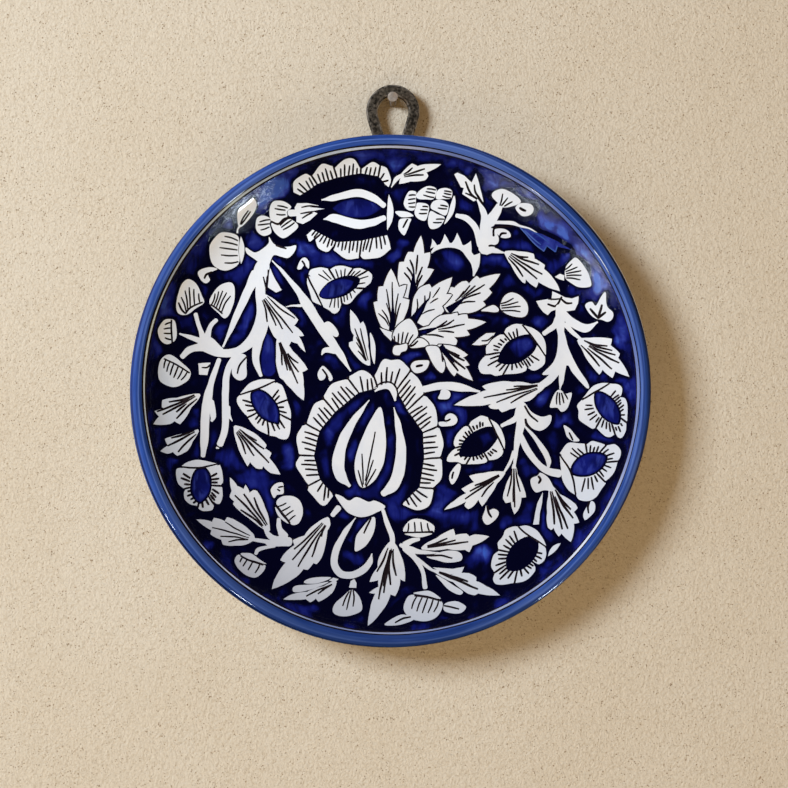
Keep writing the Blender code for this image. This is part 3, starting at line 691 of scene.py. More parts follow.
def right_side():
    leaf(56.4+68.6j, 83.5+49.1j, left=[63+69j, 70.6+67.6j, 71+65.4j, 76.2+62.2j, 75.8+60.2j, 80.4+55.4j],
        right=[59.4+62.6j, 65.2+53.8j, 66.6+53.2j, 66.8+55.2j, 72+51.2j, 73+54j],
        veins=[65.5+56.4j, 69.6+57.6j, 72.4+55.4j, 75+57.6j, 73.4+62.6j, 68+66j], width=1.1)
    bud([86+60.4j, 88.6+64j, 91+65.4j, 94.6+61.4j, 97+57.6j, 98.5+52.6j, 97+51j, 92.5+51.2j, 88.6+53.4j,
        86.2+55.6j], [85.4+60j, 86.4+57.6j, 86.6+55j], [88+63.4j, 93.6+59j, 93.2+53.6j], 5)
    white(81.1+56.2j, 83.5+57.7j, 85.7+56.8j, 85.5+54.3j, 83.2+55j, soft=False)
    white(101+35.6j, 98+38j, 95.9+41.4j, 96.6+43.2j, 99+43.7j, 101+42j, 104.8+48.5j, 106+41.6j, 108.8+38.4j,
        108.4+35.4j, 106.4+33.9j, 103.6+35j)
    for end in (98.2+40.4j, 103.6+42.2j, 105.3+38.6j):
        ink(102.2+35.8j, between(102.2+35.8j, end, 0.5), end, width=1.3)
    white(72+44.3j, 77.6+45.5j, 82.4+43.6j, 81.8+40.4j, 79.4+39.4j, 77.8+37.6j, 75.6+39j, 73.4+41.6j,
        soft=False)
    white(79.8+49.2j, 83.6+47.4j, 86+46.2j, 89.4+45.6j, 92.6+46.8j, 92.4+43j, 90.8+39.8j, 86+39.2j,
        81.4+40.4j, 79.4+45.6j, soft=False)
    ink(77.8+45.5j, 81+45.3j, 84.2+45.6j)
    ink(77.8+42.9j, 81.6+42j, 84.4+46.4j, width=1.2)
    ink(84+45.6j, 86.8+43.4j, 89.6+43.3j, width=1.1)
    stroke([83.7+41.6j, 83.8+34j, 84.3+27j], (4.4, 4.4, 3))
    white(83+30j, 82.6+22j, 80.6+14.5j, 75+8.4j, 80+8.4j, 83.4+10j, 87.6+12.6j, 90+9j, 96.4+1.7j, 97.7+3j,
        92.4+12j, 88+21j, 85.6+29.6j)
    stroke([83.4+36j, 80.6+31.8j, 75.9+28.4j], (4.2, 2.8, 2.2))
    stroke([85.4+38.2j, 89.5+34j, 96+31j, 101.9+34j], (3.4, 4.2, 4.2, 0.8))
    stroke([86.4+33j, 90.4+28.4j, 95+24.6j], (2.6, 2, 1.2))
    stroke([84.9+13j, 84.4+6j, 83.8+0.8j], (4, 2.6, 0.5))
    stroke([82.6+10.6j, 78+5j, 71+0.6j], (3.8, 3.6, 3))
    leaf(92.4+25.2j, 116.6+7j, left=[98+26.2j, 108.6+25.6j, 108+22.4j, 112.2+18.2j, 111.4+16.2j],
        right=[94+21.4j, 102.8+8.1j, 104.4+10.5j, 108.9+6.3j, 110.2+9.7j], veins=[106.6+22j, 108.8+19.8j,
        (110.2+17.6j, 0.2), (112+13.6j, 0.2), (108.8+10.8j, 0.2), 103+12j], width=1.1)
    bud([82.2+0j, 80-3.6j, 78.9-7.9j, 82.5-8.2j, 84.6-10.2j, 87.6-8j, 89.6-1.1j, 86.5-1.2j, 84+0.6j],
        [82.2-0.4j, 84-0.8j, 86-0.4j], [81.4-6.4j, 84.8-6.8j, 88.6-3.2j], 4)
    stroke([16.6+1j, 24+2.5j, 33+2j, 44-0.2j], (3.2, 3.6, 4.2, 1))
    white(25.2+0.6j, 24.4-1.4j, 23.6-3.6j, 26-4.1j, 28.6-3.8j, 29.7-1.8j, 28.6+0.2j)
    white(24-15.5j, 27-15.3j, 28-16j, 27-14j, 27.6-12.1j, 29.8-11.1j, 32.2-12.2j, 33.1-14.6j, 31-17j,
        25.2-17.5j)
    ink(26.6-15j, 28.4-14.7j, 29.7-13.8j, width=1)
    leaf(77+3.2j, 31.6-7j, left=[72.5-1.4j, 69-4.6j, 65.6-5.4j, 62-8.2j, 59-9j, 55.2-10.5j, 53.4-8.8j,
        49.6-8.7j, 48.5-7.4j, 50-6.3j], right=[70+3.4j, 60+4.6j, 52.4+4.5j, 45.3+2.2j, 47.4+0.4j, 42-1.6j],
        veins=[60.8+2.4j, 57+0.6j, 54.2-1.6j, 46-3.3j, (52.2-5.6j, 0.1), (59.4-6j, 0.1)], width=1)
    white(66-5.6j, 69.4-10j, 74.5-12.7j, 79.3-12j, 78.6-16.4j, 74.4-19.5j, 70-18.4j, 66.8-15j, 63.6-11j,
        62.4-7.6j)
    stroke([64.6-6.4j, 64.7-14j, 63.3-22j, 62-30j, 61.3-37j], (4, 4.6, 3.6, 2.2, 1.2))
    stroke([64-9j, 61.6-13.6j, 55-17.2j], (4, 2.8, 1.8))
    ink(66.4-7.4j, 69-12j, 73-15.2j, width=1.1)
    ink(66.6-14j, 67.2-16.4j, 69.6-18.8j, width=1.3)
    stroke([61-30j, 58.6-36.4j, 54.4-42.4j], (1.6, 1.4, 0.8))
    stroke([63.6-20j, 67.4-28.6j, 72.4-35.4j, 77.4-39.4j, 83.4-40.8j], (2.4, 3.2, 3, 3.4, 3.8))
    stroke([66-17j, 71-22.6j, 75.6-29j, 78-34j, 78-37.6j], (0.8, 1.8, 2.6, 2.6, 1.4))
    leaf(56.4-40.2j, 26.6-58.7j, left=[52.6-45.6j, 48.6-52.4j, 45.2-56.9j, 43.4-53.8j, 40.6-57.2j,
        38.4-58.4j, 36.6-56.8j, 37.4-54.6j], right=[46-40.5j, 39-41.9j, 41.4-45.2j, 35-48.4j, 37.4-50.4j,
        31-54.6j], veins=[41.6-46.8j, 39.2-49.5j, 36.8-53.3j, (45-52.4j, 0.2)], width=1.1)
    leaf(61-36j, 61.2-60.9j, left=[62.8-41j, 66.6-50j, 66.9-52.5j, 64.6-52.6j, 63.4-58j],
        right=[59.8-41j, 56.4-48.6j, 55.5-53j, 57-55.4j, 59.6-54.7j],
        veins=[57.8-52.2j, 60.7-54.8j, 61.4-57.4j, 64.2-49.8j], width=1)
    white(74.4-40.5j, 78.4-43.4j, 80.6-49j, 76.2-49j, 72-50.1j, 69.7-47j, 69.4-43.4j, 72.6-41.9j)
    ink(73.2-42.2j, 74.2-43.8j, 73.3-45.6j, width=1.3)
    leaf(79.2-46.6j, 88.2-73.8j, left=[83.4-50.8j, 90.8-55.4j, 92-57.6j, 90.2-59.4j, 92.5-64.4j, 90-65j,
        89.6-70j], right=[77.9-52j, 77.2-60j, 77.6-67j, 79.2-68.3j, 80.4-67.3j, 82.6-71.5j, 84-70j],
        veins=[88.6-58.2j, 89.6-62.3j, (87-67.4j, 0.2), (84.4-67.8j, 0.1), 80.7-65.6j], width=1.3)
    white(75.4-50j, 74.9-55j, 73.6-61j, 73.3-65.7j, 70.5-65.9j, 71.2-61j, 72.6-55.4j, soft=False)
    white(33-36j, 34.7-37j, 34-41j, 32-45j, 30.3-46j, 29.1-43.4j, 29.8-40j)
    ink(31.2-39.8j, 30.7-41.6j, 30.5-43.4j, width=1)
    white(47.3-56.6j, 46.6-59j, 45.5-62.5j, 46.6-65.4j, 48.4-66j, 51.2-64j, 53.5-61.2j, 53.2-59.2j, 51-58.2j,
        48.6-58.8j)
    ink(47.8-57j, 48.5-60.2j, 50-62.5j, width=1.2)
    white(85.6-16.9j, 88.6-18.6j, 91.6-22j, 93.3-24.4j, 90-24.7j, 87.4-22.8j, 86.3-20j)
    ink(90.2-24.4j, 89.4-22.8j, 88.2-20.5j, width=1)
    white(98.6-54j, 100.1-55.6j, 99.6-59j, 97-62j, 95-63j, 94.5-60.4j, 96.2-57j)
    ink(97.8-54.2j, 96.8-57j, 97-60j, width=1)
    lens(83.5-74.6j, 77.4-81j, 0.6, 1.6)


def right_flowers():
    ring_flower([[47.4+18.3j, 47.5+22.1j, 50+25.2j, 53.7+27.7j, 55.7+27.9j],
        [56.2+29.3j, 57.5+31.4j, 61.2+33j, 65.1+32.9j],
        [65.9+32.5j, 71.1+30.8j, 74.8+27.7j, 76.6+23.3j, 76.9+18.3j],
        [76.4+17.1j, 76+13.4j, 72.9+10.8j, 70.5+10.1j, 68.3+11.2j],
        [67.7+12j, 66.7+9.8j, 62.4+8.6j, 56.3+8.3j],
        [55+8j, 51.9+7.4j, 49.4+8.3j, 45.1+8.6j, 43.5+11.7j, 44.5+14.7j, 46.9+17.3j]], (62.7+20.3j,
        (11.6, 6), 32, (0.1, 0.75)), dark=True, cut=(65.1+32.7j, 69.8+27.1j, 72.9+22.7j, 76.4+17.7j),
        hatch=1.8, reach=0.66, gap=2, bold=1.2)
    ring_flower([[107.6+3.7j, 111.5+3.3j, 113.5+1.2j, 113-2j, 111.7-3j],
        [112.6-3j, 114.8-3.6j, 115.9-7.3j, 115.7-14.6j],
        [115.3-16.2j, 114.9-19.6j, 113.4-22.7j, 111.7-22.8j, 110.3-21j],
        [109.7-21.4j, 108.1-22.5j, 105.8-22.3j, 103.2-20j, 101.5-18.1j],
        [100.9-18.1j, 99.2-18.5j, 95.9-16.2j, 93.1-13.8j, 92.8-9.8j, 92.2-7j, 94.7-4.2j],
        [94.8-3.7j, 99.2+1.8j, 103.3+3.8j, 107.4+3.9j]], (106.6-8.2j, (9.9, 4.9), -57, (0.3, 0.4)),
        cut=(94.5-4.3j, 101-0.5j, 107.5+3.7j), hatch=1.9, reach=0.68, gap=5)
    ring_flower([[83.6-30.8j, 86.1-27.2j, 88.8-25.5j, 95.3-25.9j],
        [97.2-26j, 99.3-24.5j, 102.2-25.2j, 105-26.2j],
        [107.3-26.4j, 110.2-26.1j, 112.4-29.1j, 112.2-32.2j, 111.1-33.9j],
        [110.9-34.6j, 109.8-38.4j, 108.2-41.3j, 105.6-43.8j, 104.5-43.7j],
        [105.2-45.3j, 103.2-48.3j, 100.3-52.3j, 97.1-54j, 92.9-53.5j, 91.4-51.7j],
        [90.5-50.9j, 87.6-48.5j, 85-43.9j, 84.1-37.7j, 83.5-32j]], (97.5-36.1j, (9.9, 5.6), 25,
        (0.35, 0.35)), cut=(83.6-31.6j, 87.6-37.5j, 90-43.2j, 91.1-51.5j), hatch=2.1, reach=0.66, gap=5)
    ring_flower([[32.2-27.7j, 31.3-25.8j, 32.2-22.1j, 34.6-19.3j, 37-17.5j, 38.7-17.8j],
        [38.9-16.8j, 40.1-14.7j, 43.2-12.8j, 45.1-12.2j, 48.2-13.1j],
        [49.3-13.9j, 52.5-15.9j, 55-19.6j, 56.5-24.6j, 56.5-28.3j],
        [55.9-29.5j, 55-31.7j, 52.5-33.6j, 48.8-34.2j], [47.7-34.4j, 46.9-35.3j, 43.2-35.9j, 38.1-36.2j],
        [36.9-35.9j, 35.2-35.9j, 32.8-35j, 28.2-34.8j, 28.2-32.6j, 30.3-29.8j, 32-28.4j]], (43.5-25.5j,
        (11.6, 5.8), 34, (0.1, 0.7)), dark=True, cut=(48.6-13.3j, 51.9-20.3j, 53.8-24j, 56.3-29j), hatch=1.8,
        reach=0.6, gap=2, bold=1.3)
    ring_flower([[53.3-77.8j, 53.1-74.8j, 55.4-71.7j, 56.8-68.6j, 60.4-66.9j, 62.9-66.8j],
        [63.5-66.8j, 67.5-66.5j, 72.1-68.5j, 75.2-72.6j, 76.6-76j],
        [76.4-77.2j, 76.5-80.1j, 75.3-83j, 72.8-84.8j, 70.8-84.1j],
        [70-84.5j, 71-86.7j, 70.1-89.2j, 65.9-92.7j, 61.3-94j],
        [60-94.1j, 55.3-95j, 51.7-94.7j, 50.5-92.6j, 51.1-90.3j],
        [50.9-88.9j, 49.8-86j, 50.7-81.2j, 53.1-79.2j]], (64.7-80.2j, (10.6, 6), 48, (0.1, 0.3)), dark=True,
        cut=(63.2-66.9j, 66.5-70.2j, 72-73.6j, 76.6-76.6j), hatch=2.2, reach=0.74, gap=1, bold=1.3)


def paint_all():
    shapes.clear()
    for part in (main_blossom, top_flower, left_tree, left_diagonal, left_buds, left_leaves, left_flowers,
                 bottom_left, bottom_middle, top_right, right_side, right_flowers, spray):
        part()
    return shapes


# ------------------------------------------------------------------ plate shell


def front_height(r):
    """Height of the plate's face over the wall at a radius, in millimetres, up to the seam on the lip."""
    if r <= FLOOR_RADIUS:
        return FLOOR_HEIGHT
    top = FLOOR_RADIUS + WALL_BEND * sin(WALL_TOP)
    lip_centre = PLATE_RADIUS - LIP_RADIUS
    join = lip_centre + LIP_RADIUS * cos(LIP_JOIN)
    if r <= top:
        return FLOOR_HEIGHT + WALL_BEND - sqrt(WALL_BEND**2 - (r - FLOOR_RADIUS) ** 2)
    if r >= join:
        return LIP_HEIGHT + sqrt(max(LIP_RADIUS**2 - (r - lip_centre) ** 2, 0.0))
    span = join - top
    t = (r - top) / span
    low, high = front_height(top), LIP_HEIGHT + LIP_RADIUS * sin(LIP_JOIN)
    slope_low, slope_high = tan(WALL_TOP) * span, -span / tan(LIP_JOIN)
    return (
        low * (2 * t**3 - 3 * t**2 + 1)
        + slope_low * (t**3 - 2 * t**2 + t)
        + high * (3 * t**2 - 2 * t**3)
        + slope_high * (t**3 - t**2)
    )


def round_radius(x, z):
    """Radius that a point of the oval plate would have on the round plate."""
    turned = complex(x, z) * rect(1, radians(OVAL_TURN))
    return abs(complex(turned.real, turned.imag / OVAL_RATIO))


def oval_point(r, angle):
    """Point of the oval plate, in millimetres, for a radius and an angle on the round plate."""
    turned = rect(r, angle) * rect(1, radians(OVAL_TURN))
    return complex(turned.real, turned.imag * OVAL_RATIO) * rect(1, -radians(OVAL_TURN))


def front_normal(x, z):
    """Way that the plate's face looks at a point."""
    step = 0.05

    def height(a, b):
        return front_height(min(round_radius(a, b), PLATE_RADIUS - 0.2))

    across = (height(x + step, z) - height(x - step, z)) / (2 * step)
    up = (height(x, z + step) - height(x, z - step)) / (2 * step)
    return Vector((-across, -1, -up)).normalized()


def dense(outline, longest=0.9):
    """The same outline with extra points wherever two stand far apart."""
    out = []
    for a, b in zip(outline, outline[1:] + outline[:1]):
        parts = max(1, int(abs(b - a) / longest + 0.5))
        out += [between(a, b, i / parts) for i in range(parts)]
    return out


def unsteady(p):
    """A point as a hand would set it, a little off the true line."""
    shake = noise.noise_vector(Vector((p.real / 5.0, p.imag / 5.0, 3.7)))
    return p + complex(shake.x, shake.y) * HAND_SHAKE


def line_edges(angle):
    """Radii between the painted bands of the rim at an angle in radians: ground, ink, pale, ink, lip."""
    middle = PALE_RADIUS + 0.55 * np.cos(angle - radians(60)) + 0.1 * np.sin(7 * angle + 1)
    width = (0.88 + 0.26 * np.cos(angle - radians(10)) + 0.17 * np.sin(angle)
             + 0.07 * np.sin(11 * angle) + 0.06 * np.sin(17 * angle + 2))
    inner, outer = middle - width / 2, middle + width / 2
    dark = 0.6 - 0.16 * np.cos(angle)
    return inner - dark, inner, outer, outer + dark + 0.08 * np.sin(5 * angle)


def wound(points, outline):
    """Which points lie in an outline, by how often it winds round them."""
    x, z = points.real[None, :], points.imag[None, :]
    a = np.array(outline)[:, None]
    b = np.roll(a, -1, axis=0)
    side = (b - a).real * (z - a.imag) - (b - a).imag * (x - a.real)
    up = (a.imag <= z) & (b.imag > z) & (side > 0)
    down = (a.imag > z) & (b.imag <= z) & (side < 0)
    return up.sum(axis=0) != down.sum(axis=0)


def tree_of(points):
    """Search tree of flat points."""
    tree = kdtree.KDTree(len(points))
    for i, p in enumerate(points):
        tree.insert((p.real, p.imag, 0), i)
    tree.balance()
    return tree


def painted_triangles():
    """The painted face cut along every outline: its points and triangles, and the outlines as drawn."""
    noise.seed_set(HAND_SEED)  # noise_vector starts from the clock when it has no seed
    drawn = [(finish, [unsteady(p) for p in dense(outline)]) for finish, outline in paint_all()]
    points, edges = [], []
    turn = 2 * pi / RIM_STEPS

    def draw(outline):
        first, count = len(points), len(outline)
        points.extend(outline)
        edges.extend((first + i, first + (i + 1) % count) for i in range(count))

    def ring(radius):
        return [oval_point(radius, k * turn) for k in range(RIM_STEPS)]

    for finish, outline in drawn:
        draw(outline)
    for band in range(4):
        draw([oval_point(line_edges(k * turn)[band], k * turn) for k in range(RIM_STEPS)])
    tree = tree_of(points)

    def clear(p, room):
        return tree.find((p.real, p.imag, 0))[2] > room

    rows = int(FLOOR_RADIUS / GRID_STEP)
    for row in range(-rows, rows + 1):
        for column in range(-rows, rows + 1):
            p = complex(column + 0.5 * (row % 2), row * 0.866) * GRID_STEP
            if round_radius(p.real, p.imag) < FLOOR_RADIUS - 1 and clear(p, FLOOR_ROOM):
                points.append(p)
    radius = FLOOR_RADIUS
    while radius < PALE_RADIUS - 2:
        points += [p for p in ring(radius) if clear(p, WALL_ROOM)]
        radius += RING_STEP
    for k in range(LIP_RINGS + 1):
        angle = LIP_JOIN + (LIP_SEAM - LIP_JOIN) * k / LIP_RINGS
        last = ring(PLATE_RADIUS - LIP_RADIUS + LIP_RADIUS * cos(angle))
        if k < LIP_RINGS:
            points += [p for p in last if clear(p, LIP_ROOM)]
    draw(last)

    cut = geometry.delaunay_2d_cdt([Vector((p.real, p.imag)) for p in points], edges, [], 0, 1e-5, False)
    flat = np.array([complex(v.x, v.y) for v in cut[0]])
    triangles = np.array([t for t in cut[2] if len(t) == 3])
    return flat, triangles, drawn


def visible_borders(flat, triangles, finish):
    """The points where two finishes meet, but for the bands of the rim."""
    least, most = np.full(len(flat), 99), np.full(len(flat), -1)
    for corner in triangles.T:
        np.minimum.at(least, corner, finish)
        np.maximum.at(most, corner, finish)
    return [p for p in flat[least < most] if round_radius(p.real, p.imag) < PALE_RADIUS - 3]


def finishes_of(flat, triangles, drawn):
    """Finish of each triangle, painted in the order of the outlines and then the bands of the rim."""
    middle = flat[triangles].mean(axis=1)
    finish = np.full(len(middle), FINISHES.index(GROUND))
    order = np.argsort(middle.real)
    across = middle.real[order]
    for name, outline in drawn:
        line = np.array(outline)
        low, high = np.searchsorted(across, (line.real.min(), line.real.max()))
        some = order[low:high]
        some = some[(middle.imag[some] > line.imag.min()) & (middle.imag[some] < line.imag.max())]
        if len(some):
            finish[some[wound(middle[some], outline)]] = FINISHES.index(name)
    turned = middle * rect(1, radians(OVAL_TURN))
    true = turned.real + 1j * turned.imag / OVAL_RATIO
    angle = np.angle(true) - radians(OVAL_TURN)
    r = np.abs(true)
    ink_in, pale_in, pale_out, lip_in = line_edges(angle)
    finish[r > ink_in] = FINISHES.index(INK)
    finish[(r > pale_in) & (r < pale_out)] = FINISHES.index(PALE)
    finish[r > lip_in] = FINISHES.index(LIP)
    return finish


def mesh_of(bm, name):
    mesh = bpy.data.meshes.new(name)
    bm.to_mesh(mesh)
    bm.free()
    return mesh


def piece_of(mesh, name, finishes):
    made = bpy.data.objects.new(name, mesh)
    for finish in finishes:
        mesh.materials.append(finish)
    bpy.context.scene.collection.objects.link(made)
    return made


def arc(centre, radius, start, end, steps):
    turns = (start + (end - start) * i / steps for i in range(steps + 1))
    return [(centre[0] + radius * cos(a), centre[1] + radius * sin(a)) for a in turns]


def back_profile():
    """Half section in millimetres, from the seam on the lip round the edge to the middle of the back."""
    bend = (FLOOR_RADIUS, FLOOR_HEIGHT + WALL_BEND)
    under = FLOOR_HEIGHT - BODY_THICKNESS
    lip = arc((PLATE_RADIUS - LIP_RADIUS, LIP_HEIGHT), LIP_RADIUS, LIP_SEAM, LIP_BACK, 12)
    wall = arc(bend, WALL_BEND + WALL_THICKNESS, WALL_SWEEP - pi / 2, -pi / 2, 22)
    foot = [(FOOT_OUTER + FOOT_FLARE + 1.2, under), (FOOT_OUTER + 0.7, under - 1.2), (FOOT_OUTER, under / 2),
            (FOOT_OUTER, FOOT_EDGE), (FOOT_OUTER - 0.25, 0.25), (FOOT_OUTER - FOOT_EDGE, 0.0),
            (FOOT_INNER + FOOT_EDGE, 0.0), (FOOT_INNER + 0.25, 0.25), (FOOT_INNER, FOOT_EDGE),
            (FOOT_INNER, under / 2), (FOOT_INNER - 0.6, under - 1.2), (FOOT_INNER - FOOT_FLARE - 1.0, under)]
    floor = [(r, under) for r in (54.0, 36.0, 18.0, 0.0)]
    return lip + wall + foot + floor


def spun(profile, steps):
    """Half section turned about the y axis."""
    bm = bmesh.new()
    points = [bm.verts.new((r * MM, -h * MM, 0)) for r, h in profile]
    edges = [bm.edges.new(pair) for pair in zip(points, points[1:])]
    bmesh.ops.spin(bm, geom=points + edges, cent=(0, 0, 0), axis=(0, 1, 0), angle=2 * pi,
                   steps=steps, use_merge=True)
    return bm


def turn_all(bm, angle, axis):
    bmesh.ops.rotate(bm, verts=bm.verts, matrix=Matrix.Rotation(angle, 3, axis))


def back_of_plate():
    """The spun back, closed by a plain disc at the seam so that the slot can be cut through the foot ring."""
    bm = spun(back_profile(), RIM_STEPS)
    bmesh.ops.remove_doubles(bm, verts=bm.verts, dist=0.00001)
    for face in bm.faces:
        height = -face.calc_center_median().y / MM
        r = hypot(*face.calc_center_median().xz) / MM
        if height < CLAY_HEIGHT:
            face.material_index = SHELL.index("clay")
        elif r > LIP_PAINT_RADIUS and height > LIP_PAINT_HEIGHT:
            face.material_index = SHELL.index(LIP)
        else:
            face.material_index = SHELL.index("back")
    turn = radians(OVAL_TURN)
    turn_all(bm, turn, "Y")
    bmesh.ops.scale(bm, verts=bm.verts, vec=(1, 1, OVAL_RATIO))
    turn_all(bm, -turn, "Y")
    bmesh.ops.holes_fill(bm, edges=[e for e in bm.edges if e.is_boundary], sides=0)
    bmesh.ops.recalc_face_normals(bm, faces=bm.faces)
    return bm


def slot_cutter():
    """Flat bar with round edges that cuts the slot."""
    half = (SLOT_WIDTH - SLOT_DEPTH) / 2
    ends = arc((half, -BAR_HEIGHT), SLOT_DEPTH / 2, -pi / 2, pi / 2, 12)
    ends += arc((-half, -BAR_HEIGHT), SLOT_DEPTH / 2, pi / 2, 3 * pi / 2, 12)
    bm = bmesh.new()
    low = (FOOT_INNER - 6) * MM
    end = bm.faces.new([bm.verts.new(((x - PLATE_MIDDLE.x / MM) * MM, y * MM, low)) for x, y in ends])
    pulled = bmesh.ops.extrude_face_region(bm, geom=[end])["geom"]
    moved = [v for v in pulled if isinstance(v, bmesh.types.BMVert)]
    bmesh.ops.translate(bm, verts=moved, vec=(0, 0, (FOOT_OUTER - FOOT_INNER + 12) * MM))
    bmesh.ops.recalc_face_normals(bm, faces=bm.faces)
    for face in bm.faces:
        face.material_index = SHELL.index("clay")
    return bm


def with_slot(back, cutter, shell):
    """The back's mesh with the slot cut through its foot ring."""
    body = piece_of(mesh_of(back, "plate_back"), "plate_back", shell)
    tool = piece_of(mesh_of(cutter, "slot_cutter"), "slot_cutter", shell)
    cut = body.modifiers.new("slot", "BOOLEAN")
    cut.operation = "DIFFERENCE"
    cut.solver = "EXACT"
    cut.object = tool
    bpy.context.view_layer.update()
    seen = body.evaluated_get(bpy.context.evaluated_depsgraph_get())
    mesh = bpy.data.meshes.new_from_object(seen)
    bpy.data.objects.remove(body)
    bpy.data.objects.remove(tool)
    return mesh


def paint_shell(shell):
    """Painted face and plain back joined into one closed shell, with what its glazes read."""
    flat, triangles, drawn = painted_triangles()
    finish = finishes_of(flat, triangles, drawn)
    rounds = [round_radius(p.real, p.imag) for p in flat]
    face = bpy.data.meshes.new("plate_face")
    face.from_pydata([(p.real * MM, -front_height(r) * MM, p.imag * MM) for p, r in zip(flat, rounds)],
                     [], [tuple(int(i) for i in t) for t in triangles])
    face.polygons.foreach_set("material_index", finish)

    bm = bmesh.new()
    bm.from_mesh(face)
    bmesh.ops.recalc_face_normals(bm, faces=bm.faces)
    if sum(f.normal.y for f in bm.faces) > 0:
        bmesh.ops.reverse_faces(bm, faces=bm.faces)
    side = bm.faces.layers.int.new("side")
    for f in bm.faces:
        f[side] = 1
    seam = [v for v in bm.verts if v.is_boundary]
    old = set(bm.verts)
    bm.from_mesh(with_slot(back_of_plate(), slot_cutter(), shell))
    added = [v for v in bm.verts if v not in old]
    cap = [f for f in bm.faces if not f[side] and len(f.verts) > RIM_STEPS // 2]
    bmesh.ops.delete(bm, geom=cap, context="FACES")
    seam += [v for v in added if v.is_valid and v.is_boundary]
    bmesh.ops.remove_doubles(bm, verts=seam, dist=0.00004)
    bmesh.ops.triangulate(bm, faces=[f for f in bm.faces if len(f.verts) > 4])
    bmesh.ops.scale(bm, verts=bm.verts, vec=(INSIDE_SOLID, INSIDE_SOLID, INSIDE_SOLID))
    bmesh.ops.translate(bm, verts=bm.verts, vec=PLATE_MIDDLE)
    mesh = mesh_of(bm, "painted_plate")
    mesh_attributes(mesh, visible_borders(flat, triangles, finish))
    return mesh


def arc_lengths(profile):
    out = [0.0]
    for a, b in zip(profile, profile[1:]):
        out.append(out[-1] + hypot(b[0] - a[0], b[1] - a[1]))
    return np.array(out)


def mesh_attributes(mesh, borders):
    """Stores the distance to the nearest outline, the wash with its painted reflection on the upper rim, the
    bake map and the true normals of the face.
    """
    count = len(mesh.vertices)
    place = np.zeros(count * 3)
    mesh.vertices.foreach_get("co", place)
    place = place.reshape(-1, 3) - np.array(PLATE_MIDDLE)
    x, h, z = place[:, 0] / MM, -place[:, 1] / MM, place[:, 2] / MM
    tree = tree_of(borders)
    side = np.zeros(len(mesh.polygons), int)
    mesh.attributes["side"].data.foreach_get("value", side)
    loops = np.zeros(len(mesh.loops), int)
    mesh.loops.foreach_get("vertex_index", loops)
    loop_side = np.repeat(side, [p.loop_total for p in mesh.polygons])
    front = np.zeros(count, bool)
    front[loops[loop_side == 1]] = True

    room = np.zeros(count, np.float32)
    for i in np.flatnonzero(front):
        room[i] = min(tree.find((x[i], z[i], 0))[2], 9.0)
    wash = np.zeros(count, np.float32)
    for cx, cz, wide, tall, turn, strength in sorted(thin_cobalt_and_sheen_dabs(), key=lambda dab: -dab[-1]):
        local = ((x + 1j * z) - complex(cx, cz)) * rect(1, -radians(turn))
        fall = np.clip(1 - np.hypot(local.real / wide, local.imag / tall), 0, 1)
        dab = strength * fall * fall * (3 - 2 * fall)
        wash = (np.maximum(wash, dab) if strength > 0 else wash + dab).astype(np.float32)
    for name, values in (("room", room), ("wash", wash)):
        mesh.attributes.new(name, "FLOAT", "POINT").data.foreach_set("value", values)

    normals = np.zeros((count, 3), np.float32)
    for i in np.flatnonzero(front):
        normals[i] = front_normal(x[i], z[i])
    bake_map(mesh, x, h, z, loops, loop_side)
    mesh.shade_smooth()
    mesh.set_sharp_from_angle(angle=radians(50))
    mesh.normals_split_custom_set_from_vertices([tuple(float(c) for c in n) for n in normals])
    mesh.attributes.remove(mesh.attributes["side"])


def bake_map(mesh, x, h, z, loops, loop_side):
    """Map for baked colour: the face on one disc and the back on a smaller one, unrolled by true length."""
    rounds = np.array([round_radius(a, b) for a, b in zip(x, z)])
    angle = np.arctan2(z, x)
    radii = np.linspace(0, PLATE_RADIUS - 0.6, 240)
    face_run = arc_lengths([(r, front_height(r)) for r in radii])
    profile = back_profile()
    back_run = arc_lengths(profile)
    line = np.array(profile)
    best, run = np.full(len(x), 1e9), np.zeros(len(x))
    for (a, b), start, end in zip(zip(line, line[1:]), back_run, back_run[1:]):
        step = b - a
        t = np.clip(((rounds - a[0]) * step[0] + (h - a[1]) * step[1]) / (step @ step), 0, 1)
        away = np.hypot(rounds - a[0] - t * step[0], h - a[1] - t * step[1])
        nearer = away < best
        best[nearer], run[nearer] = away[nearer], (start + t * (end - start))[nearer]
    face_share = np.interp(rounds, radii, face_run) / face_run[-1]
    back_share = 1 - run / back_run[-1]
    places = []
    for way in (np.cos(angle), np.sin(angle)):
        places.append(np.where(loop_side == 1, FACE_DISC[0] + FACE_DISC[1] * (face_share * way)[loops],
                               BACK_DISC[0] + BACK_DISC[1] * (back_share * way)[loops]))
    layer = mesh.uv_layers.new(name="OFBake")
    layer.data.foreach_set("uv", np.column_stack(places).astype(np.float32).ravel())


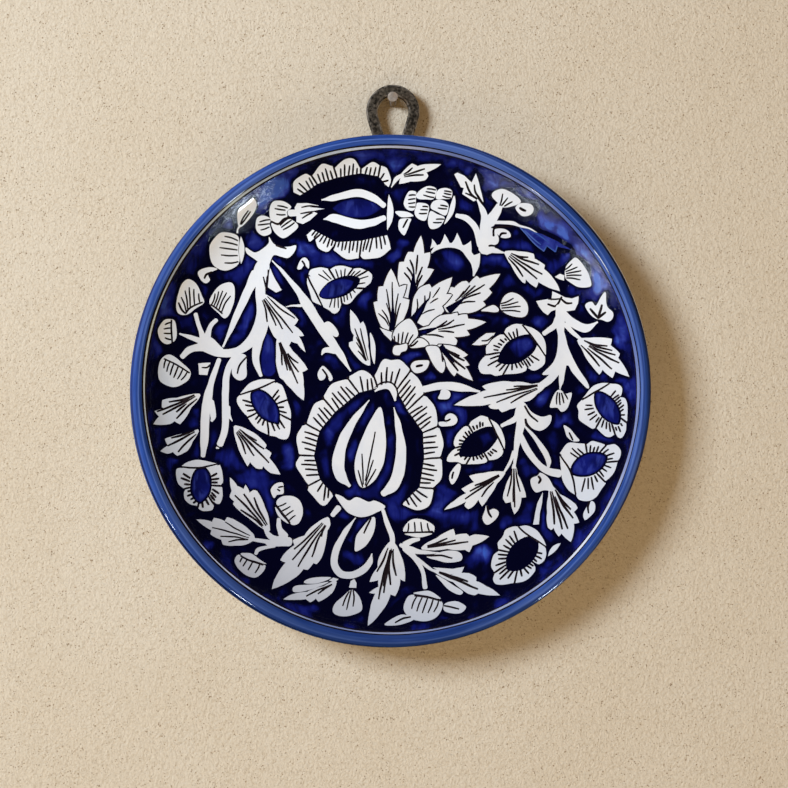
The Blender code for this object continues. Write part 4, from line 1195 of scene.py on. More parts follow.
def thin_cobalt_and_sheen_dabs():
    """Where the brush left the cobalt thin, and where strong dabs on the upper rim paint a reflection's blue
    sheen: x, z, half width and half height, turn in degrees, strength.
    """
    # The strong dabs along the rim at the upper right and upper left paint the blue sheen of a reflection
    # there: painted reflection.
    along_rim = [(112 * cos(radians(a)), 112 * sin(radians(a)), 9, 4.5, a - 90, strength) for a, strength in (
        (26, 0.9), (31, 2.4), (36, 3.2), (41, 3.4), (46, 2.8), (53, 1.4), (61, 0.7), (97, 0.7),
        (106, 1.6), (113, 2.6), (120, 3.2), (127, 2.8), (134, 1.4), (236, 0.3))]
    return along_rim + [
        # The first four: more painted reflection on the upper rim.
        (82, 76, 11, 9, -45, 2.2), (91, 66, 11, 9, -50, 2.6), (99, 55, 10, 6, -60, 2),
        (-56, 100, 12, 7, 30, 2.2), (3, 111, 9, 5, 10, 0.7), (-10, 115, 8, 3, 0, 0.4),
        (50, 103, 8, 5, -30, 0.5), (8, 76, 6, 9, -30, 0.8), (2, 67, 6, 5, 0, 0.7),
        (-22, 63, 14, 4, 10, 0.6), (-42, 70, 9, 7, 20, 0.8), (-13, 46, 6, 9, 30, 1),
        (-12, 30, 4, 8, 0, 0.5), (-5, 22, 5, 5, 0, 0.5), (-61, 17, 5, 12, 5, 1),
        (-70, 33, 5, 14, -12, 0.7), (-50, -30, 5, 12, 10, 1), (-47, -7, 4, 8, 0, 0.7),
        (-78, -33, 5, 7, 0, 0.6), (-110, 43, 6, 9, 20, 0.8), (-113, 20, 4, 9, 0, 0.8),
        (-106, -35, 5, 6, 0, 0.7), (-90, -76, 12, 4, 48, 1), (-40, -105, 9, 5, 10, 0.7),
        (-24, -72, 4, 8, 20, 0.8), (0, -72, 5, 8, 0, 0.7), (22, -59, 24, 6, 10, 1),
        (27, -8, 6, 4, 0, 0.7), (30, -24, 4, 7, 10, 0.7), (20, 8, 6, 5, 30, 1), (44, 6, 7, 4, 0, 0.8),
        (13, 18, 4, 4, 0, 0.6), (31, 63, 8, 6, 0, 0.9), (38, 91, 5, 5, 0, 0.7), (68, 52, 8, 6, -30, 0.6),
        (60, 55, 7, 5, 0, 0.6), (72, 34, 6, 5, 0, 0.7), (112, 25, 4, 14, 12, 1), (73, -5, 6, 5, 0, 0.7),
        (80, -25, 5, 8, 10, 0.7), (100, -62, 5, 12, -20, 0.9), (45, -80, 9, 6, 0, 1),
        (35, -62, 8, 5, 0, 0.9), (22, -45, 4, 6, 0, 0.7), (8, -35, 3, 12, 0, 0.4),
        (-30, -23, 3, 8, -10, 0.4), (-31, -38, 3, 8, 10, 0.4), (55, -50, 4, 8, 20, 0.7),
        (75, -60, 5, 8, 0, 0.6), (88, -68, 5, 6, 0, 0.7), (-70, -47, 6, 4, 40, 0.7),
        (66, 22.5, 13, 9, 32, 0.5), (54.5, 15.5, 10, 8, 32, -1), (47.5, -23, 11, 7, 32, 0.4),
        (38, -29, 11, 8, 34, -1.3), (69.5, -77, 8, 6, 48, 0.45), (62.5, -82, 12, 9, 48, -1.4),
    ]


# ------------------------------------------------------------------ materials


class Finish:
    """A procedural material under construction. Each method adds a node and gives back its output."""

    def __init__(self, name, **values):
        self.material = bpy.data.materials.new(name)
        self.material.use_nodes = True
        self.tree = self.material.node_tree
        self.shader = self.tree.nodes["Principled BSDF"]
        for socket, value in values.items():
            self.shader.inputs[socket.replace("_", " ")].default_value = value
        self.place = self.add("ShaderNodeTexCoord").outputs["Object"]

    def add(self, kind, **settings):
        node = self.tree.nodes.new(kind)
        for key, value in settings.items():
            setattr(node, key, value)
        return node

    def plug(self, socket, value):
        if isinstance(value, bpy.types.NodeSocket):
            self.tree.links.new(value, socket)
        elif value is not None:
            socket.default_value = value

    def moved(self, scale, turn):
        node = self.add("ShaderNodeMapping", vector_type="POINT")
        self.plug(node.inputs["Vector"], self.place)
        node.inputs["Rotation"].default_value = turn
        node.inputs["Scale"].default_value = scale
        return node.outputs["Vector"]

    def noise(self, scale, detail=3.0, rough=0.5, warp=0.0, at=None):
        node = self.add("ShaderNodeTexNoise")
        self.plug(node.inputs["Vector"], at or self.place)
        for name, value in (("Scale", scale), ("Detail", detail), ("Roughness", rough), ("Distortion", warp)):
            node.inputs[name].default_value = value
        return node.outputs["Fac"]

    def cells(self, scale):
        node = self.add("ShaderNodeTexVoronoi", feature="F1")
        self.plug(node.inputs["Vector"], self.place)
        node.inputs["Scale"].default_value = scale
        return node.outputs["Distance"]

    def vector(self, operation, a, b=None):
        node = self.add("ShaderNodeVectorMath", operation=operation)
        self.plug(node.inputs[0], a)
        self.plug(node.inputs[1], b)
        return node.outputs["Value" if operation in ("DOT_PRODUCT", "LENGTH") else "Vector"]

    def centred(self):
        """Place as seen from the plate's middle."""
        return self.vector("SUBTRACT", self.place, PLATE_MIDDLE)

    def stored(self, name):
        return self.add("ShaderNodeAttribute", attribute_name=name).outputs["Fac"]

    def span(self, value, low, high, to_low=0.0, to_high=1.0):
        node = self.add("ShaderNodeMapRange", interpolation_type="SMOOTHSTEP")
        for socket, item in zip(node.inputs, (value, low, high, to_low, to_high)):
            self.plug(socket, item)
        return node.outputs["Result"]

    def toward(self, x, z, *span):
        """Span of the distance from the plate's middle in a direction."""
        return self.span(self.vector("DOT_PRODUCT", self.centred(), (x, 0, z)), *span)

    def math(self, operation, a, b):
        node = self.add("ShaderNodeMath", operation=operation)
        self.plug(node.inputs[0], a)
        self.plug(node.inputs[1], b)
        return node.outputs[0]

    def times(self, a, b):
        return self.math("MULTIPLY", a, b)

    def band(self, value, start, full, ebb, end):
        """One between full and ebb, and nothing before the start and after the end."""
        return self.times(self.span(value, start, full), self.span(value, end, ebb))

    def mix(self, share, a, b):
        node = self.add("ShaderNodeMix", data_type="RGBA", blend_type="MIX")
        self.plug(node.inputs["Factor"], share)
        for key, value in ((6, a), (7, b)):
            self.plug(node.inputs[key], value if isinstance(value, bpy.types.NodeSocket) else (*value, 1.0))
        return node.outputs[2]

    def bump(self, height, distance, strength=1.0, over=None):
        node = self.add("ShaderNodeBump")
        node.inputs["Strength"].default_value = strength
        node.inputs["Distance"].default_value = distance
        self.plug(node.inputs["Height"], height)
        if over:
            self.plug(node.inputs["Normal"], over)
        return node.outputs["Normal"]

    def finish(self, colour, normal=None, rough=None):
        self.plug(self.shader.inputs["Base Color"], colour)
        self.plug(self.shader.inputs["Normal"], normal)
        self.plug(self.shader.inputs["Roughness"], rough)
        return self.material


def glaze(name, look):
    return Finish(name, Roughness=look.gloss, IOR=1.5)


def shaded(colour, *shares):
    """Colour with each of its parts, or all of them, multiplied by a share."""
    return [min(c * s, 1.0) for c, s in zip(colour, shares if len(shares) == 3 else shares * 3)]


def rim_streaks(f, scale=3.0, across=900.0):
    """Place drawn out along the rim, for noise in long streaks, and the distance to the plate's middle."""
    flat = f.vector("MULTIPLY", f.centred(), (1, 0, 1))
    way = f.vector("NORMALIZE", flat)
    far = f.vector("LENGTH", flat)
    parts = f.add("ShaderNodeSeparateXYZ")
    f.plug(parts.inputs[0], way)
    joined = f.add("ShaderNodeCombineXYZ")
    f.plug(joined.inputs[0], f.times(parts.outputs[0], scale))
    f.plug(joined.inputs[1], f.times(far, across))
    f.plug(joined.inputs[2], f.times(parts.outputs[2], scale))
    return joined.outputs[0], far


def glaze_ripple(finish, streaks=0.0):
    """Slow waves of the glaze, the small rise of the paint under it and, near the rim, the brush's drag."""
    waves = finish.noise(55, 2.0, 0.4)
    fine = finish.noise(420, 3.0, 0.55)
    first = finish.bump(waves, 0.0009, 0.35)
    second = finish.bump(fine, 0.0001, 0.35, first)
    if not streaks:
        return second
    place, far = rim_streaks(finish, 22.0, 700.0)
    drag = finish.times(finish.noise(1.0, 5, 0.65, 0.4, place), finish.span(far, 0.088, 0.108))
    return finish.bump(drag, streaks, 0.6, second)


def white_glaze(look):
    f = glaze("white_slip", look)
    cloud = f.noise(90, 4, 0.6)
    thin = f.noise(700, 3, 0.7)
    # Grey of the painted shade laid on the slip below.
    painted_shade_grey = shaded(look.white, 0.62, 0.62, 0.66)
    colour = f.mix(f.span(cloud, 0.3, 0.75), look.white, shaded(look.white, 0.9, 0.92, 0.97))
    colour = f.mix(f.span(thin, 0.62, 0.8, 0, 0.25), colour, (0.5, 0.52, 0.62))
    # From here on, painted light and shade by place on the plate: the left of the wall lighter and bluer,
    # painted light.
    on_wall = f.span(rim_streaks(f)[1], 0.096, 0.112)
    colour = f.mix(f.times(on_wall, f.toward(-0.97, 0.24, 0.05, 0.095)), colour, (0.68, 0.8, 1.0))
    # The left darker, painted shade.
    colour = f.mix(f.toward(-1, 0, 0.045, 0.085, 0, 0.25), colour, (0.45, 0.46, 0.5))
    # The lower left and the lower right greyed, painted shade.
    colour = f.mix(f.toward(-0.45, -0.89, 0.03, 0.115, 0, 0.85), colour, painted_shade_grey)
    colour = f.mix(f.toward(0.74, -0.67, 0.05, 0.11, 0, 0.55), colour, painted_shade_grey)
    # The top lighter and bluer, painted light.
    colour = f.mix(f.toward(-0.35, 0.94, 0.045, 0.1, 0, 0.7), colour, (0.8, 0.875, 1.0))
    return f.finish(colour, glaze_ripple(f))


def ground_glaze(look):
    f = glaze("cobalt_ground", look)
    room, wash = f.stored("room"), f.stored("wash")
    blot = f.noise(42, 2.5, 0.5, 0.8)
    drawn_out = f.moved(scale=(1, 1, 0.4), turn=(0, radians(28), 0))
    streak = f.noise(170, 3, 0.5, 1.0, drawn_out)
    across = f.moved(scale=(0.45, 1, 1), turn=(0, radians(20), 0))
    glint = f.noise(190, 2.5, 0.5, 0.8, across)
    far = rim_streaks(f)[1]
    halo = f.span(f.math("ADD", room, f.span(blot, 0.3, 0.7, -0.9, 0.9)), 0.7, 3.4)
    thin = f.math("ADD", wash, f.span(blot, 0.42, 0.68, 0.0, 0.8))
    thin = f.math("ADD", thin, f.span(far, 0.102, 0.117, 0, 0.16))
    # Thicker, darker cobalt towards the lower left.
    thin = f.math("SUBTRACT", thin, f.toward(-0.5, -0.86, 0.03, 0.1, 0, 0.32))
    light = f.times(halo, f.times(thin, f.span(streak, 0.3, 0.68, 0.45, 1.15)))
    colour = f.mix(f.span(light, 0.0, 0.62), look.ground, look.cobalt)
    bright = f.times(f.span(light, 0.4, 1.25), f.span(glint, 0.42, 0.68, 0.35, 1.0))
    colour = f.mix(bright, colour, look.thin_cobalt)
    # Where the wash is strongest, along the upper rim, the cobalt turns bright blue: the painted blue sheen
    # of a reflection.
    colour = f.mix(f.span(light, 0.95, 1.8, 0, 0.95), colour, (0.034, 0.09, 0.43))
    return f.finish(colour, glaze_ripple(f, 0.00045))


def eye_glaze(look):
    f = glaze("cobalt_eye", look)
    room = f.stored("room")
    drawn_out = f.moved(scale=(1, 1, 0.35), turn=(0, radians(62), 0))
    streak = f.noise(260, 3, 0.5, 0.8, drawn_out)
    cloud = f.noise(110, 3, 0.5)
    inner = f.times(f.span(room, 0.0, 0.9), f.span(cloud, 0.34, 0.6, 0.45, 1.0))
    colour = f.mix(inner, look.ground, look.cobalt)
    glint = f.times(f.span(room, 0.4, 1.8), f.span(streak, 0.44, 0.66))
    colour = f.mix(f.times(glint, 0.5), colour, look.thin_cobalt)
    return f.finish(colour, glaze_ripple(f))


def wash_glaze(look):
    f = glaze("pale_wash", look)
    streak = f.noise(200, 4, 0.6, 0.8)
    colour = f.mix(f.span(streak, 0.3, 0.7), look.cobalt, shaded(look.thin_cobalt, 0.9))
    return f.finish(colour, glaze_ripple(f))


def ink_glaze(look):
    f = glaze("brown_black_line", look)
    thin = f.noise(260, 4, 0.6)
    colour = f.mix(f.span(thin, 0.45, 0.8, 0, 0.6), look.ink, look.thin_ink)
    return f.finish(colour, glaze_ripple(f))


def lip_glaze(look):
    f = glaze("blue_lip", look)
    place, far = rim_streaks(f, 5.0, 1100.0)
    streak = f.noise(1.0, 4, 0.6, 0.3, place)
    long_cloud = f.noise(1.0, 3, 0.5, 0.2, rim_streaks(f, 2.2, 260.0)[0])
    colour = f.mix(f.span(streak, 0.34, 0.62), shaded(look.lip, 0.58), look.lip)
    colour = f.mix(f.span(long_cloud, 0.4, 0.66, 0, 0.45), colour, look.thin_lip)
    # Light ring near the lip's crest: a painted highlight along the roll.
    line = f.band(far, 0.122, 0.12235, 0.12245, 0.1229)
    colour = f.mix(f.times(line, f.span(streak, 0.3, 0.6, 0.3, 0.8)), colour, look.thin_lip)
    # Dark ring round the lip near its crest; the lip's shape has no groove there.
    crest_dark_ring = f.times(f.band(far, 0.123, 0.12335, 0.1235, 0.12395), f.span(long_cloud, 0.35, 0.6, 0.0, 0.7))
    colour = f.mix(crest_dark_ring, colour, (0.01, 0.02, 0.13))
    # Dark band on the outer side of the roll: painted shade.
    painted_outer_shade = f.band(far, 0.125, 0.12555, 0.1261, 0.1265)
    painted_outer_shade = f.times(painted_outer_shade, f.span(long_cloud, 0.35, 0.6, 0.35, 0.85))
    colour = f.mix(painted_outer_shade, colour, (0.018, 0.024, 0.11))
    colour = f.mix(f.span(far, 0.1264, 0.1268, 0, 0.8), colour, (0.085, 0.09, 0.16))
    # Darker towards the bottom.
    low = f.toward(-0.25, -0.97, 0.055, 0.122, 0, 0.6)
    colour = f.mix(low, colour, shaded(look.lip, 0.3))
    return f.finish(colour, glaze_ripple(f))


def pale_line_glaze(look):
    f = glaze("pale_line", look)
    streak = f.noise(1.0, 4, 0.6, 0.3, rim_streaks(f, 14.0, 600.0)[0])
    long_cloud = f.noise(1.0, 3, 0.5, 0.2, rim_streaks(f, 2.5, 60.0)[0])
    thin = f.times(f.span(streak, 0.22, 0.5, 0.72, 1.0), f.span(long_cloud, 0.36, 0.6, 0.55, 1.0))
    # The pale line is dimmer towards the upper right.
    upper_right = f.toward(0.7, 0.71, 0.07, 0.112, 1.0, 0.36)
    # Brighter at the lower right: a painted highlight.
    painted_highlight_lower_right = f.toward(0.8, -0.6, 0.06, 0.112, 0, 0.8)
    pale = f.mix(painted_highlight_lower_right, look.pale_line, shaded(look.pale_line, 1.36, 1.3, 1.08))
    # Lighter and bluer at the upper left: a painted reflection.
    pale = f.mix(f.toward(-0.85, 0.53, 0.05, 0.112), pale, (0.7, 0.86, 1.0))
    # Darker towards the bottom and towards the right.
    pale = f.mix(f.toward(0.1, -0.99, 0.085, 0.116, 0, 0.65), pale, (0.2, 0.22, 0.34))
    pale = f.mix(f.toward(0.97, 0.24, 0.088, 0.112, 0, 0.85), pale, (0.13, 0.18, 0.42))
    colour = f.mix(f.times(thin, upper_right), look.lip, pale)
    return f.finish(colour, glaze_ripple(f))


def back_glaze(look):
    f = Finish("back_glaze", Roughness=0.16, IOR=1.5)
    cloud = f.noise(28, 5, 0.6)
    speck = f.cells(900)
    drift = f.noise(14, 2, 0.5)
    colour = f.mix(f.span(cloud, 0.35, 0.7), look.back, shaded(look.back, 0.86, 0.88, 0.93))
    grit = f.times(f.span(speck, 0.16, 0.08), f.span(drift, 0.5, 0.62))
    colour = f.mix(grit, colour, (0.1, 0.07, 0.05))
    return f.finish(colour, glaze_ripple(f))


def clay_finish(look):
    f = Finish("bare_clay", Roughness=0.85, IOR=1.45)
    cloud = f.noise(120, 5, 0.6)
    grain = f.noise(1600, 4, 0.7)
    colour = f.mix(f.span(cloud, 0.3, 0.7), look.clay, shaded(look.clay, 0.62))
    return f.finish(colour, f.bump(grain, 0.0003, 0.7))


# ------------------------------------------------------------------ hanger

BAR = 5.6
LEG = 4.2
EYE_CENTRE = -4.7
EYE_RADIUS = 10.5
EYE_LEAN = radians(17)
LEG_OFFSET = LEG / 2 + 0.3
NECK_BEND = 14.0
CLENCH_BEND = 4.4
CLENCH_LENGTH = 9.0
CLENCH_RADIUS = 62.0
TAPER_START = 0.55
BAR_CORNER = 0.2
BAR_FACES = 9


def hanger_half():
    """Right half of the bar's centreline: x, z and width in millimetres, from the eye's top to the end."""
    lean = arc((0, EYE_CENTRE), EYE_RADIUS, -EYE_LEAN, -EYE_LEAN, 1)[0]
    neck_x = LEG_OFFSET + NECK_BEND * (1 - cos(EYE_LEAN))
    neck_z = lean[1] - (lean[0] - neck_x) / tan(EYE_LEAN)
    neck_centre = (LEG_OFFSET + NECK_BEND, neck_z - NECK_BEND * sin(EYE_LEAN))
    clench_z = PLATE_MIDDLE.z / MM + CLENCH_RADIUS
    clench_centre = (LEG_OFFSET + CLENCH_BEND, clench_z + CLENCH_BEND)
    eye = arc((0, EYE_CENTRE), EYE_RADIUS, pi / 2, -EYE_LEAN, 48)
    neck = arc(neck_centre, NECK_BEND, pi - EYE_LEAN, pi, 12)
    clench = arc(clench_centre, CLENCH_BEND, pi, 3 * pi / 2, 14)
    drop = neck[-1][1] - clench[0][1]
    leg = [(LEG_OFFSET, neck[-1][1] - drop * i / 70) for i in range(1, 70)]
    reach = [(clench[-1][0] + CLENCH_LENGTH * i / 14, clench_z) for i in range(1, 15)]
    slope = [tuple(a + (b - a) * t / 8 for a, b in zip(lean, neck[0])) for t in range(1, 8)]
    out = [(x, z, BAR) for x, z in eye]
    for i, (x, z) in enumerate(slope):
        share = min(1.0, max(0.0, ((i + 1) / 8 - TAPER_START) / (1 - TAPER_START)))
        out.append((x, z, BAR + (LEG - BAR) * share))
    return out + [(x, z, LEG) for x, z in neck + leg + clench + reach]


def bar_outline():
    """Square section, one unit wide, with its corners beaten off, and how near each point is to a corner."""
    half, out = 0.5, []
    for quarter in range(4):
        turn = rect(1, quarter * pi / 2)
        for i in range(BAR_FACES):
            out.append((complex(half, (-0.5 + (i + 0.5) / BAR_FACES) * (1 - 2 * BAR_CORNER)) * turn, 0.0))
        for i in range(1, 4):
            a = i * pi / 8
            corner = complex(half - BAR_CORNER, half - BAR_CORNER)
            out.append(((corner + rect(BAR_CORNER, a)) * turn, 1.0))
    return out


def forge_bar(settings):
    """The bar extruded section by section along its centreline, then beaten with shallow flats."""
    right = hanger_half()
    path = [(-x, z, w) for x, z, w in reversed(right[1:])] + right
    outline = bar_outline()
    bm = bmesh.new()
    # Nearness to a corner, read by the iron for its worn edges and their painted highlight.
    wear_layer = bm.verts.layers.float.new("wear_and_sheen")
    ring = [bm.verts.new((p.real, p.imag, 0)) for p, near in outline]
    for v, (p, near) in zip(ring, outline):
        v[wear_layer] = near
    edges = [bm.edges.new((a, b)) for a, b in zip(ring, ring[1:] + ring[:1])]
    ends = []
    before = Matrix.Identity(4)
    for i, (x, z, width) in enumerate(path):
        a, b = path[max(i - 1, 0)], path[min(i + 1, len(path) - 1)]
        ahead = Vector((b[0] - a[0], 0, b[1] - a[1])).normalized()
        side = Vector((0, -1, 0)).cross(ahead)
        turn = Matrix((side, Vector((0, -1, 0)), ahead)).transposed().to_4x4()
        size = Matrix.Diagonal((width * MM, width * MM, MM, 1))
        place = Matrix.Translation(Vector((x, -BAR_HEIGHT, z)) * MM) @ turn @ size
        if i:
            pulled = bmesh.ops.extrude_edge_only(bm, edges=edges)["geom"]
            ring = [g for g in pulled if isinstance(g, bmesh.types.BMVert)]
            edges = [g for g in pulled if isinstance(g, bmesh.types.BMEdge) and g.is_boundary]
        bmesh.ops.transform(bm, matrix=place @ before.inverted(), verts=ring)
        before = place
        if i in (0, len(path) - 1):
            ends.append(list(edges))
    for end in ends:
        bmesh.ops.contextual_create(bm, geom=end)
    bmesh.ops.recalc_face_normals(bm, faces=bm.faces)
    bm.normal_update()
    for v in bm.verts:
        p = v.co / MM
        dent = noise.noise(p * 0.22) * 0.26 + noise.noise(p * 0.7 + Vector((9, 0, 0))) * 0.1
        flat = noise.noise(p * 1.6 + Vector((0, 4, 0))) * 0.1
        v.co -= v.normal * (abs(dent) * 0.7 + 0.5 * flat) * settings.hammer_depth
    bmesh.ops.smooth_vert(bm, verts=bm.verts, factor=0.5, use_axis_x=True, use_axis_y=True, use_axis_z=True)
    return mesh_of(bm, "forged_hanger")


def iron_finish(settings):
    f = Finish("hammered_iron", Roughness=0.42, IOR=1.6)
    scale_cloud = f.noise(260, 5, 0.62)
    rust = f.noise(90, 5, 0.6, 0.4)
    grain = f.noise(760, 4, 0.65)
    # Bare metal on the corners of the bar: partly wear, partly a painted highlight that stands in for the
    # lamps' gloss.
    wear_and_sheen = f.times(f.span(f.stored("wear_and_sheen"), 0.55, 1.0), f.span(f.noise(330, 4, 0.6), 0.38, 0.62))
    colour = f.mix(f.span(scale_cloud, 0.3, 0.7), settings.iron, shaded(settings.iron, 4.0))
    colour = f.mix(f.span(rust, 0.52, 0.75, 0, 0.7), colour, settings.rust)
    colour = f.mix(f.span(grain, 0.52, 0.68, 0, 0.75), colour, shaded(settings.iron, 7.0))
    colour = f.mix(f.span(grain, 0.52, 0.38, 0, 0.95), colour, shaded(settings.iron, 0.15))
    colour = f.mix(f.times(wear_and_sheen, 0.65), colour, settings.worn)
    rough = f.span(scale_cloud, 0.3, 0.8, 0.3, 0.62)
    pits = f.bump(f.noise(900, 4, 0.7), 0.0002, 0.8)
    return f.finish(colour, f.bump(f.cells(420), 0.00025, 0.5, pits), rough)


# ------------------------------------------------------------------ nail

NAIL_RADIUS = 1.6
NAIL_SLANT = radians(7)
NAIL_REACH = 12.4
NAIL_BURIED = 3.0
HEAD_RADIUS = 2.6
HEAD_THICKNESS = 1.3
HEAD_EDGE = 0.35


def nail_mesh():
    """Nail turned about its shank, with a beaten head, slanted and cut off flush where it is buried."""
    reach, head = NAIL_REACH, HEAD_RADIUS
    top = reach + HEAD_THICKNESS
    profile = [(0, -NAIL_BURIED), (NAIL_RADIUS, -NAIL_BURIED)]
    profile += [(NAIL_RADIUS, -NAIL_BURIED + (reach - 0.5 + NAIL_BURIED) * i / 12) for i in range(1, 13)]
    profile += [(NAIL_RADIUS + 0.2, reach - 0.12), (head - HEAD_EDGE, reach)]
    profile += arc((head - HEAD_EDGE, reach + HEAD_EDGE), HEAD_EDGE, -pi / 2, 0, 4)[1:]
    profile += arc((head - HEAD_EDGE, top - HEAD_EDGE - 0.1), HEAD_EDGE, 0, pi / 2, 4)
    profile += [(head * s, top - 0.1 + 0.1 * (1 - s * s)) for s in (0.72, 0.54, 0.36, 0.18, 0)]
    bm = spun(profile, 64)
    bmesh.ops.remove_doubles(bm, verts=bm.verts, dist=0.000001)
    bmesh.ops.recalc_face_normals(bm, faces=bm.faces)
    bm.normal_update()
    for v in bm.verts:
        p = v.co / MM
        if -p.y > reach - 0.3:
            v.co -= v.normal * abs(noise.noise(p * 0.8)) * 0.16 * MM
    turn_all(bm, -NAIL_SLANT, "X")
    whole = bm.verts[:] + bm.edges[:] + bm.faces[:]
    cut = bmesh.ops.bisect_plane(bm, geom=whole, plane_co=(0, 0, 0), plane_no=(0, 1, 0), clear_outer=True)
    rim = [e for e in cut["geom_cut"] if isinstance(e, bmesh.types.BMEdge)]
    bmesh.ops.contextual_create(bm, geom=rim)
    bmesh.ops.recalc_face_normals(bm, faces=bm.faces)
    return mesh_of(bm, "worn_wall_nail")


def steel_finish(settings):
    f = Finish("oxidised_steel", Roughness=0.5, IOR=1.6)
    cloud = f.noise(500, 5, 0.65)
    rust = f.noise(220, 4, 0.6)
    colour = f.mix(f.span(cloud, 0.3, 0.7), settings.steel, shaded(settings.steel, 0.6))
    colour = f.mix(f.span(rust, 0.5, 0.72, 0, 0.8), colour, settings.rust)
    return f.finish(colour, f.bump(f.noise(1500, 4, 0.7), 0.00015, 0.7), f.span(cloud, 0.3, 0.8, 0.35, 0.7))


# ------------------------------------------------------------------ stage


def plaster_finish(colour):
    f = Finish("pale_plaster", Roughness=0.9, IOR=1.4)
    cloud = f.noise(9, 4, 0.6)
    grain = f.noise(700, 4, 0.7)
    pits = f.math("ADD", f.cells(760), f.noise(300, 3, 0.6))
    tone = f.mix(f.span(cloud, 0.3, 0.7), colour, shaded(colour, 0.96, 0.94, 0.91))
    tone = f.mix(f.span(grain, 0.48, 0.68, 0, 0.6), tone, shaded(colour, 0.72, 0.66, 0.58))
    tone = f.mix(f.span(pits, 0.72, 0.54, 0, 1.0), tone, shaded(colour, 0.42, 0.34, 0.26))
    relief = f.bump(f.noise(210, 6, 0.75), 0.0013, 0.45)
    normal = f.bump(f.noise(820, 3, 0.65), 0.001, 0.75, relief)
    material = f.finish(tone, normal)
    behind = f.add("ShaderNodeNewGeometry").outputs["Backfacing"]
    clear = f.add("ShaderNodeBsdfTransparent")
    both = f.add("ShaderNodeMixShader")
    f.plug(both.inputs[0], behind)
    f.plug(both.inputs[1], f.shader.outputs[0])
    f.plug(both.inputs[2], clear.outputs[0])
    f.plug(f.tree.nodes["Material Output"].inputs["Surface"], both.outputs[0])
    return material


def soft_lamp(name, place, size, power, colour, glossy=True, diffuse=True, shadow=True):
    """Square lamp that looks at the plate's middle."""
    lamp = bpy.data.lights.new(name, "AREA")
    lamp.energy, lamp.color = power, colour
    lamp.size = size
    lamp.use_shadow = shadow
    made = bpy.data.objects.new(name, lamp)
    made.location = place
    made.rotation_euler = (PLATE_MIDDLE - Vector(place)).to_track_quat("-Z", "Y").to_euler()
    made.visible_camera = False
    made.visible_glossy = glossy
    made.visible_diffuse = diffuse
    bpy.context.scene.collection.objects.link(made)


# ------------------------------------------------------------------ settings


def tint(name, text, default):
    return FloatVectorProperty(name=name, description=text, default=default, subtype="COLOR", size=3,
                               min=0, max=1)


class WallPlateLook(bpy.types.PropertyGroup):
    """Colours and gloss of the plate."""

    white: tint("White", "White slip of the flowers and leaves", (0.65, 0.68, 0.742))
    ground: tint("Ground", "Dark ground, thick cobalt", (0.001, 0.0011, 0.0095))
    cobalt: tint("Cobalt", "Cobalt where the ground is thinner", (0.005, 0.008, 0.12))
    thin_cobalt: tint("Thin cobalt", "Cobalt where the brush left it thin", (0.03, 0.048, 0.31))
    ink: tint("Line", "Brown-black of the drawn lines", (0.007, 0.005, 0.007))
    thin_ink: tint("Thin line", "Drawn lines where the brush ran dry", (0.035, 0.026, 0.035))
    lip: tint("Lip", "Blue of the lip", (0.024, 0.066, 0.3))
    thin_lip: tint("Thin lip", "Blue of the lip where it is thin", (0.1, 0.17, 0.46))
    pale_line: tint("Pale line", "Line inside the lip", (0.5, 0.54, 0.72))
    back: tint("Back", "Glaze of the back", (0.66, 0.63, 0.57))
    clay: tint("Clay", "Bare clay of the foot", (0.46, 0.28, 0.16))
    gloss: FloatProperty(name="Glaze roughness", description="Roughness of the clear glaze", min=0, max=1,
                         default=0.055, subtype="FACTOR")


class HangerLook(bpy.types.PropertyGroup):
    """Colours of the iron and how deep it is beaten."""

    hammer_depth: FloatProperty(name="Hammer depth", description="Depth of the hammer marks in the bar",
                                min=0, max=0.003, default=0.0007, subtype="DISTANCE", unit="LENGTH")
    iron: tint("Iron", "Dark forge scale", (0.02, 0.017, 0.014))
    rust: tint("Rust", "Rust in the hollows", (0.075, 0.052, 0.038))
    # Worn edge: bare metal, made lighter also as a painted highlight on the bar's corners.
    worn: tint("Worn edge", "Bare metal along the edges", (0.27, 0.24, 0.215))


class NailLook(bpy.types.PropertyGroup):
    """Colours of the nail."""

    steel: tint("Steel", "Dull steel of the nail", (0.33, 0.29, 0.265))
    rust: tint("Rust", "Rust on the nail", (0.22, 0.165, 0.125))


class StageLook(bpy.types.PropertyGroup):
    """Backdrop, light and camera."""

    wall: tint("Wall", "Pale plaster behind the plate", (0.6, 0.54, 0.455))
    floor: tint("Floor", "Pale floor below", (0.62, 0.58, 0.52))
    lens: FloatProperty(name="Lens", description="Focal length of the camera", min=20, max=200, default=91.13,
                        subtype="DISTANCE_CAMERA", unit="CAMERA")
    distance: FloatProperty(name="Distance", description="Distance of the camera from the wall",
                            min=0.3, max=5, default=1.0, subtype="DISTANCE", unit="LENGTH")


# ------------------------------------------------------------------ operators


class PaintPlate(bpy.types.Operator):
    """Build the painted and glazed plate over its solid"""

    bl_idname = "wall_plate.paint_plate"
    bl_label = "Painted plate"

    def execute(self, context):
        look = context.scene.wall_plate_look
        makers = (ground_glaze, white_glaze, ink_glaze, eye_glaze, wash_glaze, lip_glaze, pale_line_glaze,
                  back_glaze, clay_finish)
        shell = [make(look) for make in makers]
        plate = piece_of(paint_shell(shell), "painted_plate", shell)
        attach(plate, ROOT)
        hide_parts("plate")
        return {"FINISHED"}


class ForgeHanger(bpy.types.Operator):
    """Build the hammered iron hanger over its solid"""

    bl_idname = "wall_plate.forge_hanger"
    bl_label = "Forged hanger"

    def execute(self, context):
        settings = context.scene.wall_plate_hanger
        mesh = forge_bar(settings)
        mesh.shade_smooth()
        hanger = piece_of(mesh, "forged_hanger", [iron_finish(settings)])
        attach(hanger, ROOT)
        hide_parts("hanger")
        return {"FINISHED"}


